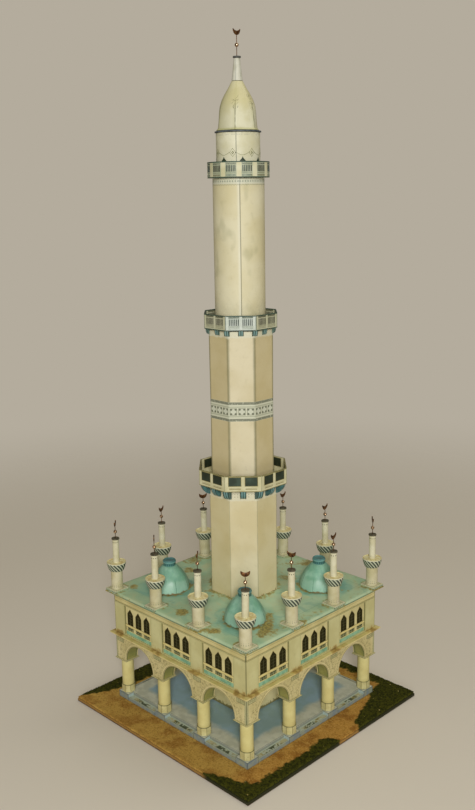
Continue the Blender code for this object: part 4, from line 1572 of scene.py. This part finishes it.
def make_roof():
    """One sheet that droops over the cornice and rises a little towards the tower."""
    _, top, half = extent("roof")
    edges = [half - inward for inward in (0.0, 0.25, 0.5, 0.8, 1.2, 1.7)]
    lines = sorted([-edge for edge in edges] + steps(-56.0, 56.0, 56) + edges)
    bulge, faces = 2.4, (0.0, 0.5)              # rise at the tower; depths of the sheet's two faces
    domes = [middle(f"corner_dome_{corner}") for corner in CORNERS]
    minarets = [middle(f"small_minaret_{number:02d}") for number in range(1, 13)]
    finish = card_finish("roof_card_wash", (182, 206, 172), (160, 194, 160),
                         roof_print(half, reach_of("tower_lower"), domes, minarets),
                         patch=16.0, roughness=0.42, stain=0.1)
    shape = Shape()

    def height(x, y):
        across = max(abs(x), abs(y))
        droop = 1.0 - smoothstep(half - across, 0.0, 1.6)
        wave = 0.25 * noise.noise(Vector((x * 0.06, y * 0.06, 5.0))) * (1.0 - droop)
        return top - droop + bulge * (1.0 - smoothstep(across, 13.0, 34.0)) + wave

    def sheet(spots, down):
        return [(x, y, height(x, y) - down) for x, y in spots]

    cards = [[(x, y) for x in lines] for y in lines]
    for down in faces:
        shape.grid(finish, [sheet(card, down) for card in cards], cards)
    for tip in (lines[0], lines[-1]):
        for spots in ([(u, tip) for u in lines], [(tip, u) for u in lines]):
            shape.grid(finish, [sheet(spots, down) for down in faces], [spots] * 2)
    shape.dress("roof_card", "roof", sharp=60.0)


def board_finish():
    finish = Finish("board_edge", 0.7)
    fibre = finish.noise(1.6, 4.0, (0.25, 0.25, 3.0))
    board = finish.mix(fibre.step(0.34, 0.66), tone(104, 78, 54), tone(76, 56, 38))
    ragged = finish.z + finish.wander(2.4, 3.0, 1.2)
    bare = finish.y.band(1.0, 17.0, 1.5) * finish.x.step(70.0, 74.0)
    turf = finish.x.step(38.0, 44.0).larger(finish.y.step(-73.0, -70.0)) * (1.0 - bare)
    loose = finish.mix(turf, tone(150, 114, 56), tone(38, 39, 10))
    finish.bump(fibre, 0.15)
    return finish.paint(finish.mix((ragged + turf * 0.5).step(-2.1, -1.8), board, loose))


# Ground

TURF = {                                        # depth of the turf along each edge: place, depth
    "east": ((-75, 10), (-62, 7.5), (-20, 7), (-6, 9), (-1, 6), (2, -4), (17, -4), (19, 2), (23, 7),
             (35, 11), (46, 15), (56, 21), (75, 22)),
    "north": ((-75, 8), (75, 8)),
    "west": ((-75, -3), (-69, 4), (-61, 8), (-52, 11), (-42, 14), (75, 15)),
    "south": ((-75, -3), (36, -4), (42, 2), (50, 6), (58, 8), (66, 12), (75, 14)),
}


def turf_share(x, y, half):
    """How much of the ground at a place is dark turf, from 0 to 1."""
    ragged = noise.fractal(Vector((x * 0.28, y * 0.28, 3.0)), 1.0, 2.0, 3) * 2.2
    return max(smoothstep(along_path(TURF[side], place) - inward + ragged, -0.6, 0.8)
               for side, inward, place in (("east", half - x, y), ("north", half - y, x),
                                           ("west", half + x, y), ("south", half + y, x)))


def ground_finish():
    finish = Finish("ground_scatter", 0.95, shine=0.1)
    grain = finish.noise(0.9, 4.0)
    patch = finish.noise(9.0, 3.0)
    earth = finish.mix(patch.step(0.40, 0.64), tone(191, 154, 77), tone(164, 123, 57))
    rusty = finish.mix(patch.step(0.44, 0.60), tone(176, 120, 52), tone(134, 80, 24))
    earth = finish.mix(finish.x.step(52.0, 60.0) * 0.45, earth, rusty)
    earth = finish.lay(earth, [
        (grain.step(0.52, 0.66) * 0.5, (112, 80, 30)),
        (grain.step(0.44, 0.34) * 0.5, (204, 166, 92))])
    grass = finish.wash(1.3, 4.0, 0.42, 0.62, (66, 67, 17), (39, 42, 11))
    grass = finish.lay(grass, [(finish.patches(1.0, 3.0, 0.66, 0.74) * 0.4, (130, 112, 42))])
    finish.bump(grain, 0.25)
    finish.bump(finish.noise(0.35, 2.0), 0.1)
    return finish.paint(finish.mix(finish.attribute("turf"), earth, grass))


def make_ground():
    low, _, half = extent("ground_mat")
    inner = reach_of("plinth") - 1.2            # the mat's hole lies under the plinth
    cells = 248
    lines = steps(-half, half, cells)
    border = half / cells                       # half a cell
    shape = Shape()
    finish = ground_finish()
    spots = {}

    def spot(column, row):
        if (column, row) not in spots:
            x, y = lines[column], lines[row]
            turf = turf_share(x, y, half)
            where = Vector((x, y, 0.0))
            rough = noise.fractal(where * 0.9, 1.0, 2.0, 3)
            height = 0.10 + 0.14 * rough + 0.10 * noise.noise(where * 0.22) + turf * (0.25 + 0.3 * rough)
            across = max(abs(x), abs(y))
            if half - across < border:
                wander = 0.35 + 0.35 * noise.noise(where * 0.35)
                x, y = (value - math.copysign(wander, value) if half - abs(value) < border else value
                        for value in (x, y))
                height = 0.0
            if across < inner + 1.4:
                height = min(height, 0.2)
            spots[(column, row)] = (x, y, max(height, -0.1))
        return spots[(column, row)]

    def kept(column, row):
        if not (0 <= column < cells and 0 <= row < cells):
            return False
        x, y = ((lines[index] + lines[index + 1]) / 2 for index in (column, row))
        return max(abs(x), abs(y)) > inner

    for column in range(cells):
        for row in range(cells):
            if not kept(column, row):
                continue
            corners = ((column, row), (column + 1, row), (column + 1, row + 1), (column, row + 1))
            points = [spot(*corner) for corner in corners]
            shape.face(finish, points)
            for index, beside in enumerate(neighbours(column, row)):
                if not kept(*beside):
                    first, second = points[index], points[(index + 1) % 4]
                    shape.face(finish, [first, second, (*second[:2], low), (*first[:2], low)])
    outer = half - 0.4
    for angle in SIDES.values():
        place = flat(angle, 0.0)
        shape.face(finish, [place(u, low, reach) for u, reach in
                            ((-inner, inner), (inner, inner), (outer, outer), (-outer, outer))])
    piece = shape.add("ground_scatter_mat", "scatter", "ground_mat", sharp=80.0)
    layer = piece.data.attributes.new("turf", "FLOAT", "POINT")
    for vert, item in zip(piece.data.vertices, layer.data):
        item.value = turf_share(vert.co.x / MM, vert.co.y / MM, half)


def crumb(shape, finish, chance, at, size, squash=0.7):
    """A small rough crumb: a jittered octahedron."""
    turn = chance.uniform(0.0, math.pi)
    points = []
    for index in range(4):
        place = polar(size * chance.uniform(0.7, 1.2), turn + index * math.pi / 2, at)
        points.append((*place, at[2] + size * chance.uniform(-0.2, 0.2)))
    top = (at[0] + size * chance.uniform(-0.2, 0.2), at[1] + size * chance.uniform(-0.2, 0.2),
           at[2] + size * squash * chance.uniform(0.7, 1.3))
    bottom = (at[0], at[1], at[2] - size * squash)
    for index in range(4):
        for tip in (top, bottom):
            shape.face(finish, [points[index], points[(index + 1) % 4], tip])


def crumb_finish(name, light, dark):
    finish = Finish(name, 0.9, shine=0.1)
    finish.bump(finish.noise(0.4, 2.0), 0.08)
    return finish.paint(finish.wash(1.6, 2.0, 0.4, 0.6, light, dark))


def make_crumbs():
    """Loose scatter on the ground."""
    chance = random.Random(11)
    half = reach_of("ground_mat") - 1.0
    inner = reach_of("plinth") + 0.5
    turf = crumb_finish("turf_crumbs", (68, 70, 18), (40, 44, 12))
    earth = crumb_finish("earth_crumbs", (184, 148, 76), (135, 100, 47))
    straw = crumb_finish("straw_crumbs", (184, 170, 106), (150, 134, 76))
    shape = Shape()
    for _ in range(5200):
        x, y = chance.uniform(-half, half), chance.uniform(-half, half)
        if max(abs(x), abs(y)) < inner:
            continue
        if turf_share(x, y, half + 1.0) > 0.5:
            finish = turf if chance.random() < 0.96 else straw
            crumb(shape, finish, chance, (x, y, 0.35), chance.uniform(0.22, 0.55), 0.9)
        elif chance.random() < 0.55:
            crumb(shape, earth, chance, (x, y, 0.12), chance.uniform(0.12, 0.28))
    shape.add("ground_crumbs", "scatter", sharp=80.0)


# Stage

LAMPS = (         # name, azimuth, height angle, distance and size in metres, power, colour
    ("key", 47.0, 23.0, 1.2, 0.24, 7.2, (1.0, 0.985, 0.96)),
    ("fill", 44.0, 8.0, 1.2, 0.24, 2.3, (1.0, 0.985, 0.96)),
    ("top", 160.0, 62.0, 1.6, 1.00, 3.6, (1.0, 0.94, 0.82)))


def make_floor():
    """A plain floor that fades out into the backdrop."""
    bpy.ops.mesh.primitive_plane_add(size=6.0, location=(0.0, 0.0, 0.0))
    floor = bpy.context.object
    floor.name = "studio_floor"
    finish = Finish("studio_floor_paint", 0.8)
    floor.data.materials.append(finish.paint(tone(228, 221, 208)))
    fade = finish.node("MixShader")
    clear = finish.node("BsdfTransparent")
    for socket, value in zip(fade.inputs, (finish.x.length(finish.y).step(260.0, 800.0),
                                           finish.shader.outputs[0], clear.outputs[0])):
        finish.put(socket, value)
    finish.put(finish.tree.nodes["Material Output"].inputs["Surface"], fade.outputs[0])


def make_world():
    """Dim warm light from all sides; the camera sees a plain backdrop instead."""
    world = bpy.data.worlds.new("studio")
    world.use_nodes = True
    tree = world.node_tree
    ambient = tree.nodes["Background"]
    ambient.inputs["Color"].default_value = (1.0, 0.92, 0.74, 1.0)
    ambient.inputs["Strength"].default_value = 0.235
    backdrop = tree.nodes.new("ShaderNodeBackground")
    backdrop.inputs["Color"].default_value = tone(180, 172, 157)
    rays = tree.nodes.new("ShaderNodeLightPath")
    choice = tree.nodes.new("ShaderNodeMixShader")
    for source, target in ((rays.outputs["Is Camera Ray"], choice.inputs[0]),
                           (ambient.outputs[0], choice.inputs[1]),
                           (backdrop.outputs[0], choice.inputs[2]),
                           (choice.outputs[0], tree.nodes["World Output"].inputs["Surface"])):
        tree.links.new(source, target)
    bpy.context.scene.world = world


def make_lamps():
    aim = Vector((0.0, 0.0, 0.15))
    for name, azimuth, height, distance, size, power, colour in LAMPS:
        lamp = bpy.data.lights.new(name, "AREA")
        lamp.shape = "DISK"
        lamp.size = size
        lamp.energy = power
        lamp.color = colour
        light = bpy.data.objects.new(name, lamp)
        spin, lift = math.radians(azimuth), math.radians(height)
        way = Vector((math.sin(spin) * math.cos(lift), -math.cos(spin) * math.cos(lift), math.sin(lift)))
        light.location = aim + way * distance
        light.rotation_euler = way.to_track_quat("Z", "Y").to_euler()
        bpy.context.scene.collection.objects.link(light)


def make_camera():
    """The photo's viewpoint, on the line of the near corner."""
    data = bpy.data.cameras.new("camera")
    data.sensor_width = 36.0
    data.lens = 41.21
    camera = bpy.data.objects.new("camera", data)
    distance, height = 0.5267, 0.3050           # metres, from the tower's axis and above the ground
    azimuth, pitch, yaw, roll = (math.radians(angle) for angle in (44.907, 12.758, -0.276, -0.891))
    place = (distance * math.sin(azimuth), -distance * math.cos(azimuth), height + GROUND * MM)
    camera.matrix_world = (Matrix.Translation(place) @ Matrix.Rotation(azimuth - yaw, 4, "Z")
                           @ Matrix.Rotation(math.pi / 2 - pitch, 4, "X") @ Matrix.Rotation(roll, 4, "Z"))
    bpy.context.scene.collection.objects.link(camera)
    bpy.context.scene.camera = camera


make_octagonal_tubes()
make_round_tube()
bracket_edge = make_lower_balcony()
baluster_finishes = make_middle_balcony(bracket_edge)
make_upper_balcony(*baluster_finishes)
make_drum()
make_main_dome()
make_spire()
foil_and_bead = metal_finishes()
make_top_finial(foil_and_bead)
make_small_minarets(foil_and_bead)
make_corner_domes()
make_upper_walls()
make_arcades()
make_columns()
keep("base_board", board_finish())
keep("plinth", plinth_finish(), 0.1)
core_foot, _, core_half = extent("ground_core")
keep("ground_core", card_finish("ground_core_card", (222, 212, 162), (202, 192, 140),
                                core_print(core_foot, core_half), patch=10.0))
keep("ledge", card_finish("ledge_card", (216, 202, 136), (200, 184, 114), ledge_print(reach_of("ledge")),
                          patch=6.0))
keep("dome_eave", card_finish("eave_card", (98, 106, 112), (70, 78, 84), patch=3.0))
make_roof()
make_cornices()
make_ground()
make_crumbs()
make_floor()
make_world()
make_lamps()
make_camera()
bpy.context.scene.view_settings.view_transform = "Standard"

bpy.context.view_layer.update()
